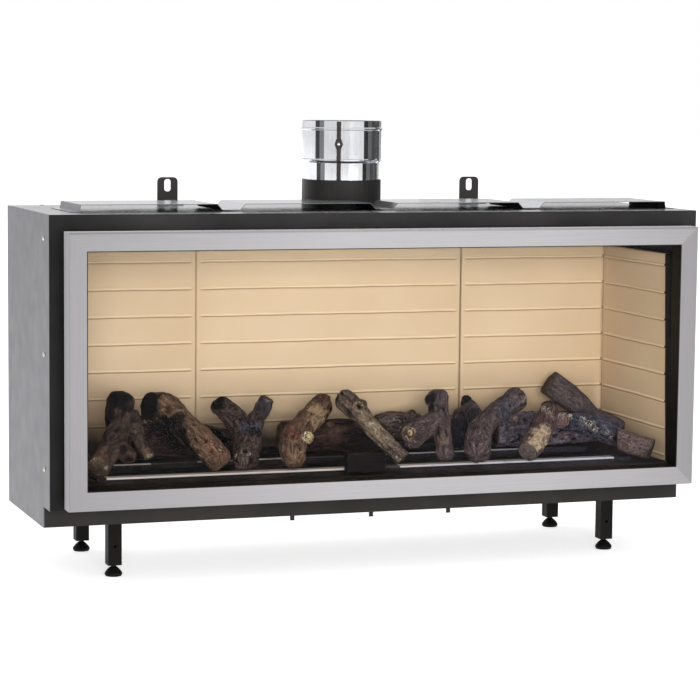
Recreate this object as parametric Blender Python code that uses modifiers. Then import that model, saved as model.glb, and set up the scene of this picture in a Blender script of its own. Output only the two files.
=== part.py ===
"""Balanced-flue gas fireplace insert: casing, glazed firebox with ceramic logs, concentric flue, wall brackets, levelling feet.

Dimensions below are millimetres in the maker's sense: X across, Y back from the front plate, Z up from the casing's underside.
put() moves them to the model's own frame: metres, origin on the floor under the middle of the whole object, +Z up.
"""

import math

import bmesh
import bpy
from mathutils import Matrix, Vector

# ---- driving dimensions (mm) ----
CASE_W = 1245.0  # casing width
CASE_D = 362.0  # casing depth, front plate to back panel
CASE_H = 558.0  # casing height
LEG_DROP = 100.0  # floor to casing underside
SHEET = 1.5  # casing sheet
GAP = 0.3  # clearance between touching pieces
BAND_SETBACK = 54.0  # lower front band behind the front plate
BAND_H = 38.0
WINDOW_X = 575.0  # half width of the window
WINDOW_Z = (77.0, 500.0)
TRIM_W, TRIM_Z = 1201.0, (44.2, 530.2)  # trim frame outside
TRIM_BAR = 34.5
TRIM_Y = (-52.6, -19.3)
BRACKET_Y = 380.0  # back face of the wall brackets
FLUE_Y = 258.0  # flue axis behind the front plate
FLUE_R = 75.0  # 150 mm air pipe
EXHAUST_R = 50.0  # 100 mm exhaust pipe
LEG_X, LEG_Y = 486.5, (90.0, 348.0)
LEG_SIDE = 25.0
BEAD_TOP, BEAD_PITCH = 452.0, 51.8  # brick courses
FLOOR_Z = 78.0  # firebox floor
LIP_Z = 84.0  # top of the burner's lips

Y_MID = (TRIM_Y[0] + BRACKET_Y) / 2


def put(x, y, z):
    return Vector((x / 1000, (y - Y_MID) / 1000, (z + LEG_DROP) / 1000))


# ---- clean scene, collections, materials ----
for thing in list(bpy.data.objects):
    bpy.data.objects.remove(thing, do_unlink=True)
PARTS = bpy.data.collections.new("gas_fireplace_insert")
CUTTERS = bpy.data.collections.new("cutters")
for collection in (PARTS, CUTTERS):
    bpy.context.scene.collection.children.link(collection)

COLOURS = {
    "galvanised": ((0.31, 0.31, 0.32), 0.45, 0.8),
    "dark_sheet": ((0.032, 0.031, 0.031), 0.5, 0.3),
    "satin_steel": ((0.56, 0.55, 0.55), 0.35, 1.0),
    "polished_steel": ((0.8, 0.8, 0.8), 0.08, 1.0),
    "black_steel": ((0.012, 0.012, 0.012), 0.5, 0.2),
    "heat_glass": ((0.9, 0.92, 0.9), 0.05, 0.0),
    "rope_seal": ((0.05, 0.05, 0.05), 0.9, 0.0),
    "brick_lining": ((0.69, 0.54, 0.35), 0.9, 0.0),
    "ceramic_log": ((0.07, 0.05, 0.04), 0.9, 0.0),
    "burner_black": ((0.01, 0.01, 0.012), 0.4, 0.2),
    "zinc_fastener": ((0.65, 0.65, 0.63), 0.3, 1.0),
    "brass_fitting": ((0.7, 0.5, 0.2), 0.3, 1.0),
    "copper_pipe": ((0.65, 0.3, 0.18), 0.35, 1.0),
    "shield_sheet": ((0.6, 0.6, 0.6), 0.35, 0.9),
}


def material(slot):
    made = bpy.data.materials.get(slot)
    if made is None:
        colour, rough, metal = COLOURS[slot]
        made = bpy.data.materials.new(slot)
        made.use_nodes = True
        shader = made.node_tree.nodes["Principled BSDF"]
        shader.inputs["Base Color"].default_value = (*colour, 1)
        shader.inputs["Roughness"].default_value = rough
        shader.inputs["Metallic"].default_value = metal
    return made


# ---- shape helpers ----
def add(name, mesh, slot=None):
    obj = bpy.data.objects.new(name, mesh)
    if slot is None:
        CUTTERS.objects.link(obj)
        obj.hide_render = True
        obj.display_type = "WIRE"
    else:
        PARTS.objects.link(obj)
        own = material(slot).copy()
        own.name = name + "_finish"
        mesh.materials.append(own)
    return obj


def boxes(name, spans, slot=None, origin=None):
    """One mesh of axis-aligned boxes, each (x0, x1, y0, y1, z0, z1); origin is where the object's own origin goes."""
    origin = put(*origin) if origin else put(
        (spans[0][0] + spans[0][1]) / 2, (spans[0][2] + spans[0][3]) / 2, (spans[0][4] + spans[0][5]) / 2
    )
    shape = bmesh.new()
    for x0, x1, y0, y1, z0, z1 in spans:
        low, high = put(x0, y0, z0) - origin, put(x1, y1, z1) - origin
        made = bmesh.ops.create_cube(shape, size=1)
        bmesh.ops.scale(shape, vec=high - low, verts=made["verts"])
        bmesh.ops.translate(shape, vec=(high + low) / 2, verts=made["verts"])
    mesh = bpy.data.meshes.new(name)
    shape.to_mesh(mesh)
    shape.free()
    obj = add(name, mesh, slot)
    obj.location = origin
    return obj


def boolean(obj, other, operation):
    change = obj.modifiers.new(operation.lower(), "BOOLEAN")
    change.operation = operation
    change.object = other
    change.solver = "EXACT"
    return change


def joined(name, spans, slot, origin=None):
    """Overlapping boxes joined into one body."""
    obj = boxes(name, spans[:1], slot, origin)
    for number, span in enumerate(spans[1:]):
        boolean(obj, boxes(f"{name}_add_{number}", [span]), "UNION")
    return obj


TURN = {
    "XY": Matrix.Identity(4),
    "XZ": Matrix.Rotation(math.pi / 2, 4, "X"),
    "YZ": Matrix.Rotation(math.pi / 2, 4, "Z") @ Matrix.Rotation(math.pi / 2, 4, "X"),
}


def circle(u, v, radius, count=24):
    return [
        (u + radius * math.cos(2 * math.pi * k / count), v + radius * math.sin(2 * math.pi * k / count))
        for k in range(count)
    ]


def rect(u0, u1, v0, v1):
    return [(u0, v0), (u1, v0), (u1, v1), (u0, v1)]


def rounded(u0, u1, v0, v1, r, steps=3):
    """A rectangle with rounded corners; r holds the radius at each corner, anticlockwise from low-low."""
    corners = ((u0, v0, 180), (u1, v0, 270), (u1, v1, 0), (u0, v1, 90))
    points = []
    for (u, v, start), radius in zip(corners, r):
        if radius <= 0:
            points.append((u, v))
            continue
        cu = u + radius if u == u0 else u - radius
        cv = v + radius if v == v0 else v - radius
        for k in range(steps + 1):
            a = math.radians(start + 90 * k / steps)
            points.append((cu + radius * math.cos(a), cv + radius * math.sin(a)))
    return points


def outline(name, plane, loops, low, high, slot):
    """A flat sheet: loops of (u, v) in the plane, filled, from low to high along the third axis."""
    curve = bpy.data.curves.new(name, "CURVE")
    curve.dimensions = "2D"
    curve.fill_mode = "BOTH"
    curve.extrude = (high - low) / 2000
    for loop in loops:
        spline = curve.splines.new("POLY")
        spline.points.add(len(loop) - 1)
        for point, (u, v) in zip(spline.points, loop):
            point.co = (u / 1000, v / 1000, 0, 1)
        spline.use_cyclic_u = True
    obj = bpy.data.objects.new(name, curve)
    middle = (low + high) / 2
    base = put(0, 0, 0)
    shift = {"XY": (0, 0, middle), "XZ": (0, middle, 0), "YZ": (middle, 0, 0)}[plane]
    obj.matrix_world = Matrix.Translation(base + Vector(shift) / 1000) @ TURN[plane]
    PARTS.objects.link(obj)
    own = material(slot).copy()
    own.name = name + "_finish"
    curve.materials.append(own)
    return obj


def meshed(obj):
    """The curve object as a mesh object of the same name, its caps welded."""
    bpy.context.view_layer.update()
    graph = bpy.context.evaluated_depsgraph_get()
    mesh = bpy.data.meshes.new_from_object(obj.evaluated_get(graph))
    shape = bmesh.new()
    shape.from_mesh(mesh)
    bmesh.ops.remove_doubles(shape, verts=shape.verts, dist=1e-6)
    bmesh.ops.recalc_face_normals(shape, faces=shape.faces)
    shape.to_mesh(mesh)
    shape.free()
    name, matrix, homes = obj.name, obj.matrix_world.copy(), list(obj.users_collection)
    data = obj.data
    bpy.data.objects.remove(obj)
    bpy.data.curves.remove(data)
    made = bpy.data.objects.new(name, mesh)
    for home in homes:
        home.objects.link(made)
    made.matrix_world = matrix
    if CUTTERS in homes:
        made.hide_render = True
        made.display_type = "WIRE"
    return made


def turned(name, profile, x, y, z, slot, steps=32, axis="Z"):
    """A turned piece: profile of (radius, height) from the outer top round to the inner side, closed where it meets the axis."""
    mesh = bpy.data.meshes.new(name)
    shape = bmesh.new()
    verts = [shape.verts.new((r / 1000, 0, h / 1000)) for r, h in profile]
    for a, b in zip(verts, verts[1:]):
        shape.edges.new((a, b))
    if profile[0][0] > 0:
        shape.edges.new((verts[-1], verts[0]))
    shape.to_mesh(mesh)
    shape.free()
    obj = add(name, mesh, slot)
    turn = obj.modifiers.new("screw", "SCREW")
    turn.steps = turn.render_steps = steps
    turn.use_merge_vertices = True
    turn.merge_threshold = 0.00001
    turn.use_smooth_shade = True
    obj.location = put(x, y, z)
    if axis == "X":
        obj.rotation_euler = (0, math.pi / 2, 0)
    elif axis == "-X":
        obj.rotation_euler = (0, -math.pi / 2, 0)
    return obj


def swept(name, points, slot, resolution=2):
    """A tube along points of (x, y, z, radius)."""
    curve = bpy.data.curves.new(name, "CURVE")
    curve.dimensions = "3D"
    curve.bevel_depth = 0.001
    curve.bevel_resolution = resolution
    curve.use_fill_caps = True
    spline = curve.splines.new("POLY")
    spline.points.add(len(points) - 1)
    origin = put(*points[0][:3])
    for point, (x, y, z, r) in zip(spline.points, points):
        point.co = (*(put(x, y, z) - origin), 1)
        point.radius = r
    obj = bpy.data.objects.new(name, curve)
    obj.location = origin
    if slot is None:
        CUTTERS.objects.link(obj)
    else:
        PARTS.objects.link(obj)
        own = material(slot).copy()
        own.name = name + "_finish"
        curve.materials.append(own)
    bpy.context.view_layer.update()
    return meshed(obj)


HALF = CASE_W / 2

# ---- casing ----
# Base pan: bottom, set-back front band and the step forward under the front plate are one folded sheet.
base = outline(
    "base_pan",
    "YZ",
    [
        [
            (BAND_SETBACK, 0),
            (CASE_D - SHEET - GAP, 0),
            (CASE_D - SHEET - GAP, SHEET),
            (BAND_SETBACK + SHEET, SHEET),
            (BAND_SETBACK + SHEET, BAND_H),
            (SHEET + GAP, BAND_H),
            (SHEET + GAP, BAND_H - SHEET),
            (BAND_SETBACK, BAND_H - SHEET),
        ]
    ],
    -HALF + SHEET + GAP,
    HALF - SHEET - GAP,
    "dark_sheet",
)
base = meshed(base)
for number, x in enumerate((-154, 0, 154)):
    boolean(base, boxes(f"base_tab_{number}", [(x - 4, x + 4, 68, 70, -11, 1)]), "UNION")
# gas inlet hole in the pan
inlet_cut = turned("inlet_cut", [(0, 8), (9, 8), (9, -8), (0, -8)], -330, 250, 0.75, None, 20)
boolean(base, inlet_cut, "DIFFERENCE")

SCREW_Z = (107.0, 311.0, 515.0)
SCREW_Y = 41.0
side_loop = [
    (SHEET + GAP, BAND_H),
    (BAND_SETBACK, BAND_H),
    (BAND_SETBACK, 0),
    (CASE_D, 0),
    (CASE_D, CASE_H),
    (SHEET + GAP, CASE_H),
]
for side, sign in (("left", -1), ("right", 1)):
    low, high = sorted((sign * HALF, sign * (HALF - SHEET)))
    outline(
        f"side_panel_{side}",
        "YZ",
        [side_loop] + [circle(SCREW_Y, z, 2.6, 12) for z in SCREW_Z],
        low,
        high,
        "galvanised",
    )
    for z, word in zip(SCREW_Z, ("lower", "middle", "upper")):
        # pan head outside the panel, shank through the hole
        turned(
            f"side_screw_{side}_{word}",
            [(0, 2.6), (2.2, 2.4), (3.9, 1.6), (4.6, 0.3), (4.6, 0), (2.1, 0), (2.1, -8), (0, -8)],
            sign * (HALF + GAP),
            SCREW_Y,
            z,
            "zinc_fastener",
            16,
            "X" if sign > 0 else "-X",
        )

outline(
    "back_panel",
    "XZ",
    [rect(-HALF + SHEET + GAP, HALF - SHEET - GAP, 0, CASE_H - SHEET - GAP)],
    CASE_D - SHEET,
    CASE_D,
    "galvanised",
)

BRACKET_X = 310.0
BRACKET_BOLT_Y = 347.0
outline(
    "top_panel",
    "XY",
    [
        rect(-HALF + SHEET + GAP, HALF - SHEET - GAP, SHEET + GAP, CASE_D),
        circle(0, FLUE_Y, FLUE_R + 1.2, 48),
        circle(-BRACKET_X, BRACKET_BOLT_Y, 4.4, 12),
        circle(BRACKET_X, BRACKET_BOLT_Y, 4.4, 12),
    ],
    CASE_H - SHEET,
    CASE_H,
    "galvanised",
)

# Front plate with the window, and four hooks that the trim frame hangs on.
mask = meshed(
    outline(
        "front_plate",
        "XZ",
        [
            rect(-HALF, HALF, BAND_H, CASE_H),
            rect(-WINDOW_X, WINDOW_X, *WINDOW_Z),
        ],
        0,
        SHEET,
        "dark_sheet",
    )
)
for number, (x, z, up) in enumerate(((-430, 524, 1), (430, 524, 1), (-430, 49, -1), (430, 49, -1))):
    lip = (z, z + 3.2) if up > 0 else (z - 1.7, z + 1.5)
    boolean(mask, boxes(f"hook_arm_{number}", [(x - 20, x + 20, -32, 0.7, z, z + 1.5)]), "UNION")
    boolean(mask, boxes(f"hook_lip_{number}", [(x - 20, x + 20, -32, -30.5, *lip)]), "UNION")

# ---- combustion chamber ----
IN_X, IN_BACK, IN_TOP = 595.3, 332.3, 510.0
WALL = 2.0
TRAY_X, TRAY_Y = 510.0, (60.0, 209.0)
chamber = boxes("firebox_shell", [(-IN_X - WALL, IN_X + WALL, 2.0, IN_BACK + WALL, FLOOR_Z - WALL, IN_TOP + WALL)], "black_steel")
boolean(
    chamber,
    boxes("firebox_hollow", [(-IN_X, IN_X, -20, IN_BACK, FLOOR_Z, IN_TOP)]),
    "DIFFERENCE",
)
boolean(
    chamber,
    boxes("tray_opening", [(-TRAY_X, TRAY_X, *TRAY_Y, FLOOR_Z - 20, FLOOR_Z + 3)]),
    "DIFFERENCE",
)
HATCH_X, HATCH_Y = -350.0, 170.0
boolean(
    chamber,
    boxes("hatch_opening", [(HATCH_X - 70, HATCH_X + 70, HATCH_Y - 50, HATCH_Y + 50, IN_TOP - 10, IN_TOP + 20)]),
    "DIFFERENCE",
)
exhaust_cut = turned("exhaust_opening", [(0, 20), (EXHAUST_R - 1, 20), (EXHAUST_R - 1, -20), (0, -20)], 0, FLUE_Y, IN_TOP, None, 32)
boolean(chamber, exhaust_cut, "DIFFERENCE")
# ledge behind the burner that the back panels of the lining stand on
boolean(
    chamber,
    boxes("brick_ledge", [(-572, 572, 304, IN_BACK + 1, 88, 90)]),
    "UNION",
)
boolean(
    chamber,
    boxes("brick_ledge_front", [(-572, 572, 304, 306, FLOOR_Z - 1, 89)]),
    "UNION",
)

boxes(
    "relief_hatch",
    [(HATCH_X - 82, HATCH_X + 82, HATCH_Y - 62, HATCH_Y + 62, IN_TOP + WALL + GAP, IN_TOP + WALL + GAP + 2)],
    "black_steel",
)


# ---- ceramic lining ----
def lining(name, horizontal, low, high, face, back, z0, z1):
    """A brick-pattern panel: a slab with rounded beads along its face that stop short of its edges."""
    sign = 1 if back > face else -1
    slab_face = face + sign * 2.0
    count = int((BEAD_TOP - z0 - 4) // BEAD_PITCH) + 1
    levels = [BEAD_TOP - BEAD_PITCH * k for k in range(count)]

    def span(u0, u1, d0, d1, h0, h1):
        d0, d1 = sorted((d0, d1))
        return (u0, u1, d0, d1, h0, h1) if horizontal == "X" else (d0, d1, u0, u1, h0, h1)

    slab = boxes(name, [span(low, high, slab_face, back, z0, z1)], "brick_lining")
    beads = boxes(
        name + "_beads",
        [span(low + 9, high - 9, face, slab_face + sign * 3, z - 2.6, z + 2.6) for z in levels],
    )
    boolean(slab, beads, "UNION")
    return slab


SEAM_X = 270.5
lining("back_brick_left", "X", -594.7, -SEAM_X - GAP, 312, 332, 90.3, 474)
lining("back_brick_centre", "X", -SEAM_X + GAP, SEAM_X - GAP, 312, 332, 90.3, 474)
lining("back_brick_right", "X", SEAM_X + GAP, 594.7, 312, 332, 90.3, 474)
lining("side_brick_left", "Y", 11, 311.4, -575, -595, FLOOR_Z + GAP, 474)
lining("side_brick_right", "Y", 11, 311.4, 575, 595, FLOOR_Z + GAP, 474)

# ---- burner ----
T0, T1 = TRAY_Y[0] + GAP, TRAY_Y[1] - GAP
TX = TRAY_X - GAP
tray = boxes("burner_tray", [(-TX, TX, T0, T1, 50, FLOOR_Z + GAP + 1)], "satin_steel")
boolean(tray, boxes("tray_front_lip", [(-525, 525, 56, 77, FLOOR_Z + GAP, LIP_Z)]), "UNION")
boolean(tray, boxes("tray_rear_lip", [(-525, 525, 203, 213, FLOOR_Z + GAP, LIP_Z)]), "UNION")
boolean(tray, boxes("tray_end_lips", [(-525, -500, 60, 210, FLOOR_Z + GAP, LIP_Z), (500, 525, 60, 210, FLOOR_Z + GAP, LIP_Z)]), "UNION")
boolean(tray, boxes("tray_hollow", [(-TX + 12, TX - 12, 76, 204, 52, 120)]), "DIFFERENCE")
tray_port = turned("tray_port", [(0, 10), (7, 10), (7, -10), (0, -10)], 0, 140, 51, None, 16)
boolean(tray, tray_port, "DIFFERENCE")

bed = boxes("burner_plate", [(-496, 496, 77, 203, 70, 74)], "burner_black")
boolean(
    bed,
    boxes(
        "burner_ports",
        [(-470 + 94.5 * k, -470 + 94.5 * k + 60, y, y + 8, 60, 90) for k in range(10) for y in (112, 160)],
    ),
    "DIFFERENCE",
)

cover = boxes("pilot_cover", [(-58, 16, 36, 55.7, FLOOR_Z + GAP, 112)], "black_steel")
boolean(cover, boxes("pilot_cover_hollow", [(-56.5, 14.5, 37.5, 54.2, 60, 110.5)]), "DIFFERENCE")
boolean(cover, boxes("pilot_cover_window", [(-40, 0, 50, 60, 96, 108)]), "DIFFERENCE")
turned(
    "pilot_burner",
    [(0, 24), (3, 24), (4.5, 22), (4.5, 14), (3, 13), (3, 4), (7, 4), (7, 0), (0, 0)],
    -20,
    46,
    FLOOR_Z + GAP,
    "zinc_fastener",
    12,
)

# ---- gas supply under the firebox floor ----
turned(
    "gas_inlet",
    [(0, 14), (7, 14), (7, 4), (11, 4), (11, 1.9), (8.5, 1.9), (8.5, -6), (10, -6), (10, -16), (6, -18), (0, -18)],
    -330,
    250,
    0,
    "brass_fitting",
    16,
)
swept(
    "gas_pipe",
    [
        (-330, 250, 14.6, 4),
        (-330, 250, 24, 4),
        (-322, 248, 31, 4),
        (-300, 243, 33, 4),
        (-200, 215, 33, 4),
        (-60, 165, 33, 4),
        (-16, 144, 33, 4),
        (-4, 140, 36, 4),
        (0, 140, 42, 4),
        (0, 140, 60, 4),
    ],
    "copper_pipe",
)

# ---- glass unit ----
ring_out, ring_in = 597.0, WINDOW_X
outline(
    "glass_frame",
    "XZ",
    [rect(-ring_out, ring_out, 57, 520), rect(-ring_in, ring_in, *WINDOW_Z)],
    -19.0,
    -9.3,
    "black_steel",
)
outline("glass_pane", "XZ", [rect(-591, 591, 63, 514)], -9.0, -5.0, "heat_glass")
outline(
    "glass_seal",
    "XZ",
    [rect(-588, 588, 65, 512), rect(-577, 577, 75, 502)],
    -4.7,
    -0.3,
    "rope_seal",
)

# ---- trim frame: a folded channel, open at the back ----
TX1 = TRIM_W / 2
front, back = TRIM_Y
trim = boxes("trim_frame", [(-TX1, TX1, front, back, *TRIM_Z)], "satin_steel", (0, (front + back) / 2, sum(TRIM_Z) / 2))
IX, IZ0, IZ1 = TX1 - TRIM_BAR, TRIM_Z[0] + TRIM_BAR, TRIM_Z[1] - TRIM_BAR
boolean(trim, boxes("trim_window", [(-IX, IX, front - 10, back + 10, IZ0, IZ1)]), "DIFFERENCE")
channel = outline(
    "trim_channel",
    "XZ",
    [
        rect(-TX1 + 1.5, TX1 - 1.5, TRIM_Z[0] + 1.5, TRIM_Z[1] - 1.5),
        rect(-IX - 1.5, IX + 1.5, IZ0 - 1.5, IZ1 + 1.5),
    ],
    front + 2,
    back + 10,
    "black_steel",
)
channel = meshed(channel)
PARTS.objects.unlink(channel)
CUTTERS.objects.link(channel)
channel.hide_render = True
channel.display_type = "WIRE"
boolean(trim, channel, "DIFFERENCE")

# ---- flue ----
COLLAR_TOP = 609.0
ADAPTER_STEP, ADAPTER_TOP = 645.0, 720.0
turned(
    "flue_collar",
    [
        (FLUE_R + 0.5, COLLAR_TOP),
        (FLUE_R + 0.5, CASE_H - 3),
        (FLUE_R + 20, CASE_H - 3),
        (FLUE_R + 20, CASE_H - 4.5),
        (FLUE_R - 1, CASE_H - 4.5),
        (FLUE_R - 1, COLLAR_TOP),
    ],
    0,
    FLUE_Y,
    0,
    "black_steel",
    48,
)
turned(
    "exhaust_pipe",
    [(EXHAUST_R, 694), (EXHAUST_R, IN_TOP + WALL + GAP), (EXHAUST_R - 1, IN_TOP + WALL + GAP), (EXHAUST_R - 1, 694)],
    0,
    FLUE_Y,
    0,
    "polished_steel",
    32,
)
# Adapter: wide socket above, a rolled step, a narrower spigot that plugs into the collar.
adapter = turned(
    "flue_adapter",
    [
        (FLUE_R, ADAPTER_TOP),
        (FLUE_R, 708),
        (FLUE_R + 1.6, 706),
        (FLUE_R + 1.6, 704),
        (FLUE_R, 702),
        (FLUE_R, ADAPTER_STEP + 4),
        (FLUE_R + 0.8, ADAPTER_STEP + 2),
        (FLUE_R + 0.4, ADAPTER_STEP),
        (FLUE_R - 4, ADAPTER_STEP - 4),
        (FLUE_R - 4, 575),
        (FLUE_R - 5, 575),
        (FLUE_R - 5, ADAPTER_STEP - 3.5),
        (FLUE_R - 1, ADAPTER_STEP + 0.5),
        (FLUE_R - 1, ADAPTER_TOP),
    ],
    0,
    FLUE_Y,
    0,
    "polished_steel",
    48,
)
seam_angle = math.radians(-113)
rivet_at = Vector((math.cos(seam_angle), math.sin(seam_angle))) * (FLUE_R - 0.3)
rivet = turned("adapter_rivet", [(0, 2.2), (2.6, 1.6), (3.6, 0), (3.6, -2), (0, -2)], rivet_at.x, FLUE_Y + rivet_at.y, 677, None, 12)
rivet.rotation_euler = (0, math.pi / 2, seam_angle)
boolean(adapter, rivet, "UNION")

# ---- corrugated shield on the roof ----
FLANGE_Z, VALLEY_Z, PLATEAU_Z = CASE_H + 0.8, CASE_H + 2.8, CASE_H + 13.3
SHIELD_X, SHIELD_Y = 22.0, (75.0, 235.0)
PITCH, VALLEY_HALF, SLOPE, END_WALL, END_FLANGE = 293.5, 17.0, 9.5, 571.0, 590.0
profile = [(-END_FLANGE, FLANGE_Z), (-END_WALL - 2, FLANGE_Z), (-END_WALL, PLATEAU_Z)]
for centre in (-PITCH, 0.0, PITCH):
    profile += [
        (centre - VALLEY_HALF - SLOPE, PLATEAU_Z),
        (centre - VALLEY_HALF, VALLEY_Z),
        (centre + VALLEY_HALF, VALLEY_Z),
        (centre + VALLEY_HALF + SLOPE, PLATEAU_Z),
    ]
profile += [(END_WALL, PLATEAU_Z), (END_WALL + 2, FLANGE_Z), (END_FLANGE, FLANGE_Z)]
profile = [(x + SHIELD_X, z) for x, z in profile]
mesh = bpy.data.meshes.new("heat_shield")
shape = bmesh.new()
rows = [[shape.verts.new((x / 1000, y / 1000, z / 1000)) for x, z in profile] for y in SHIELD_Y]
for k in range(len(profile) - 1):
    shape.faces.new((rows[0][k], rows[0][k + 1], rows[1][k + 1], rows[1][k]))
shape.to_mesh(mesh)
shape.free()
shield = add("heat_shield", mesh, "shield_sheet")
shield.location = put(0, 0, 0)
skin = shield.modifiers.new("sheet", "SOLIDIFY")
skin.thickness = 0.001
skin.offset = 0
skin.use_even_offset = True
flue_cut = turned("shield_flue_opening", [(0, 40), (FLUE_R + 2, 40), (FLUE_R + 2, -20), (0, -20)], 0, FLUE_Y, CASE_H, None, 48)
boolean(shield, flue_cut, "DIFFERENCE")

# ---- wall brackets: an angle with a rounded, slotted upright ----
for side, x in (("left", -BRACKET_X), ("right", BRACKET_X)):
    upright = meshed(
        outline(
            f"wall_bracket_{side}",
            "XZ",
            [
                rounded(x - 20, x + 20, CASE_H + GAP + 0.8, 609.2, (0, 0, 8, 8)),
                rounded(x - 6.5, x + 6.5, 582, 605.5, (5, 5, 5, 5)),
            ],
            BRACKET_Y - 3,
            BRACKET_Y,
            "dark_sheet",
        )
    )
    boolean(
        upright,
        boxes(f"bracket_foot_{side}", [(x - 19.6, x + 19.6, 332, BRACKET_Y - 1, CASE_H + GAP, CASE_H + GAP + 3)]),
        "UNION",
    )
    hole = turned(f"bracket_hole_{side}", [(0, 10), (4.4, 10), (4.4, -10), (0, -10)], x, BRACKET_BOLT_Y, CASE_H, None, 12)
    boolean(upright, hole, "DIFFERENCE")
    turned(
        f"bracket_bolt_{side}",
        [(0, 5), (5.6, 5), (6.5, 4), (6.5, 0), (4, 0), (4, -12), (0, -12)],
        x,
        BRACKET_BOLT_Y,
        CASE_H + GAP + 3 + GAP,
        "zinc_fastener",
        6,
    )

# ---- legs and levelling feet ----
leg_half = LEG_SIDE / 2
for where_y, y in zip(("front", "back"), LEG_Y):
    for side, x in (("left", -LEG_X), ("right", LEG_X)):
        leg = boxes(
            f"leg_{where_y}_{side}",
            [(x - leg_half, x + leg_half, y - leg_half, y + leg_half, -79.5, -GAP)],
            "black_steel",
        )
        boolean(
            leg,
            boxes(f"leg_hollow_{where_y}_{side}", [(x - leg_half + 2, x + leg_half - 2, y - leg_half + 2, y + leg_half - 2, -74.5, 20)]),
            "DIFFERENCE",
        )
        boolean(leg, turned(f"leg_bore_{where_y}_{side}", [(0, 20), (5.3, 20), (5.3, -20), (0, -20)], x, y, -78, None, 16), "DIFFERENCE")
        side_hole = turned(f"leg_hole_{where_y}_{side}", [(0, 10), (3, 10), (3, -10), (0, -10)], x, y - leg_half, -45, None, 10)
        side_hole.rotation_euler = (math.pi / 2, 0, 0)
        boolean(leg, side_hole, "DIFFERENCE")
        # pad with a domed top, neck and threaded stud; the origin is on the stud's axis at the floor
        turned(
            f"foot_{where_y}_{side}",
            [
                (0, 68),
                (5, 68),
                (5, 17.5),
                (7.5, 15.5),
                (10.5, 13),
                (15, 7.5),
                (16.2, 5),
                (16.2, 3.5),
                (14.5, 0),
                (0, 0),
            ],
            x,
            y,
            -LEG_DROP,
            "black_steel",
            20,
        )

# ---- ceramic logs: each chain is (x, y, z, radius) along the middle of a limb; the first limb carries the others ----
LOGS = {
    "log_01": (
        ((-454, 164, 221, 26), (-465, 130, 182, 24), (-477, 100, 159, 20), (-499, 65, 135, 21), (-520, 45, 115, 21), (-531, 34, 105, 21)),
        ((-450, 135, 193, 22), (-442, 115, 165, 16), (-435, 90, 138, 10), (-426, 70, 115, 8)),
        ((-490, 78, 144, 13), (-475, 64, 131, 14), (-464, 47, 114, 13)),
    ),
    "log_02": (
        ((-403, 165, 198, 26), (-376, 145, 195, 27), (-350, 115, 169, 25), (-328, 80, 143, 25), (-310, 55, 120, 24), (-299, 36, 103, 23)),
    ),
    "log_03": (((-432, 217, 141, 36), (-376, 217, 134, 34), (-318, 216, 124, 32), (-266, 215, 119, 28), (-223, 215, 115, 25)),),
    "log_04": (
        ((-274, 169, 202, 18), (-250, 145, 180, 20), (-239, 125, 158, 20), (-239, 95, 134, 19), (-249, 62, 115, 20), (-252, 42, 96, 18)),
        ((-173, 168, 203, 13), (-192, 150, 179, 15), (-212, 125, 161, 17), (-224, 95, 137, 17), (-235, 65, 114, 16), (-245, 50, 100, 15)),
    ),
    "log_05": (
        ((-48, 204, 196, 19), (-78, 165, 172, 23), (-115, 130, 153, 24), (-140, 105, 137, 25), (-154, 68, 118, 23), (-159, 40, 98, 19)),
        ((-128, 105, 137, 12), (-125, 62, 144, 11)),
    ),
    "log_06": (((-133, 215, 123, 27), (-73, 215, 123, 29), (-19, 212, 125, 31), (36, 208, 120, 31), (77, 204, 111, 25)),),
    "log_07": (
        ((-28, 172, 205, 19), (-8, 138, 182, 18), (4, 113, 162, 16), (24, 85, 135, 15), (42, 58, 112, 15), (53, 43, 99, 15)),
        ((-4, 136, 183, 13), (-4, 117, 193, 12)),
    ),
    "log_08": (
        ((73, 262, 127, 25), (117, 262, 131, 26), (152, 262, 128, 25), (186, 262, 113, 20)),
        ((146, 262, 138, 16), (150, 262, 152, 10), (151, 262, 161, 5)),
    ),
    "log_09": (
        ((178, 193, 203, 20), (168, 160, 168, 19), (157, 115, 140, 17), (147, 73, 115, 16), (138, 46, 99, 16)),
        ((155, 135, 160, 16), (122, 112, 147, 20), (72, 72, 130, 24)),
        ((157, 186, 200, 11), (162, 176, 182, 15)),
    ),
    "log_10": (
        ((358, 211, 186, 23), (307, 175, 170, 20), (270, 142, 159, 19), (239, 105, 146, 20), (214, 68, 129, 24), (193, 27, 102, 25)),
        ((240, 196, 194, 7), (238, 190, 178, 13), (237, 145, 156, 18), (236, 112, 141, 17)),
        ((316, 170, 152, 9), (326, 150, 147, 7)),
        ((235, 198, 165, 15), (221, 185, 136, 19), (213, 165, 98, 19)),
    ),
    "log_11": (((398, 158, 175, 15), (375, 122, 151, 18), (348, 88, 131, 22), (322, 62, 114, 21), (303, 42, 102, 19)),),
    "log_12": (((416, 150, 144, 16), (453, 150, 138, 19), (491, 145, 130, 21), (531, 134, 114, 22)),),
    "log_13": (
        ((437, 255, 207, 25), (462, 240, 186, 25), (487, 222, 166, 21), (510, 205, 145, 16), (534, 187, 135, 14), (562, 168, 122, 13)),
    ),
    "log_14": (((507, 84, 115, 20), (536, 58, 104, 21), (558, 34, 100, 19)),),
    "log_15": (((327, 258, 115, 30), (399, 256, 115, 33), (481, 246, 115, 30), (538, 228, 111, 22)),),
}
for name, limbs in LOGS.items():
    body = swept(name, limbs[0], "ceramic_log")
    for number, limb in enumerate(limbs[1:]):
        boolean(body, swept(f"{name}_limb_{number}", limb, None), "UNION")

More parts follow.
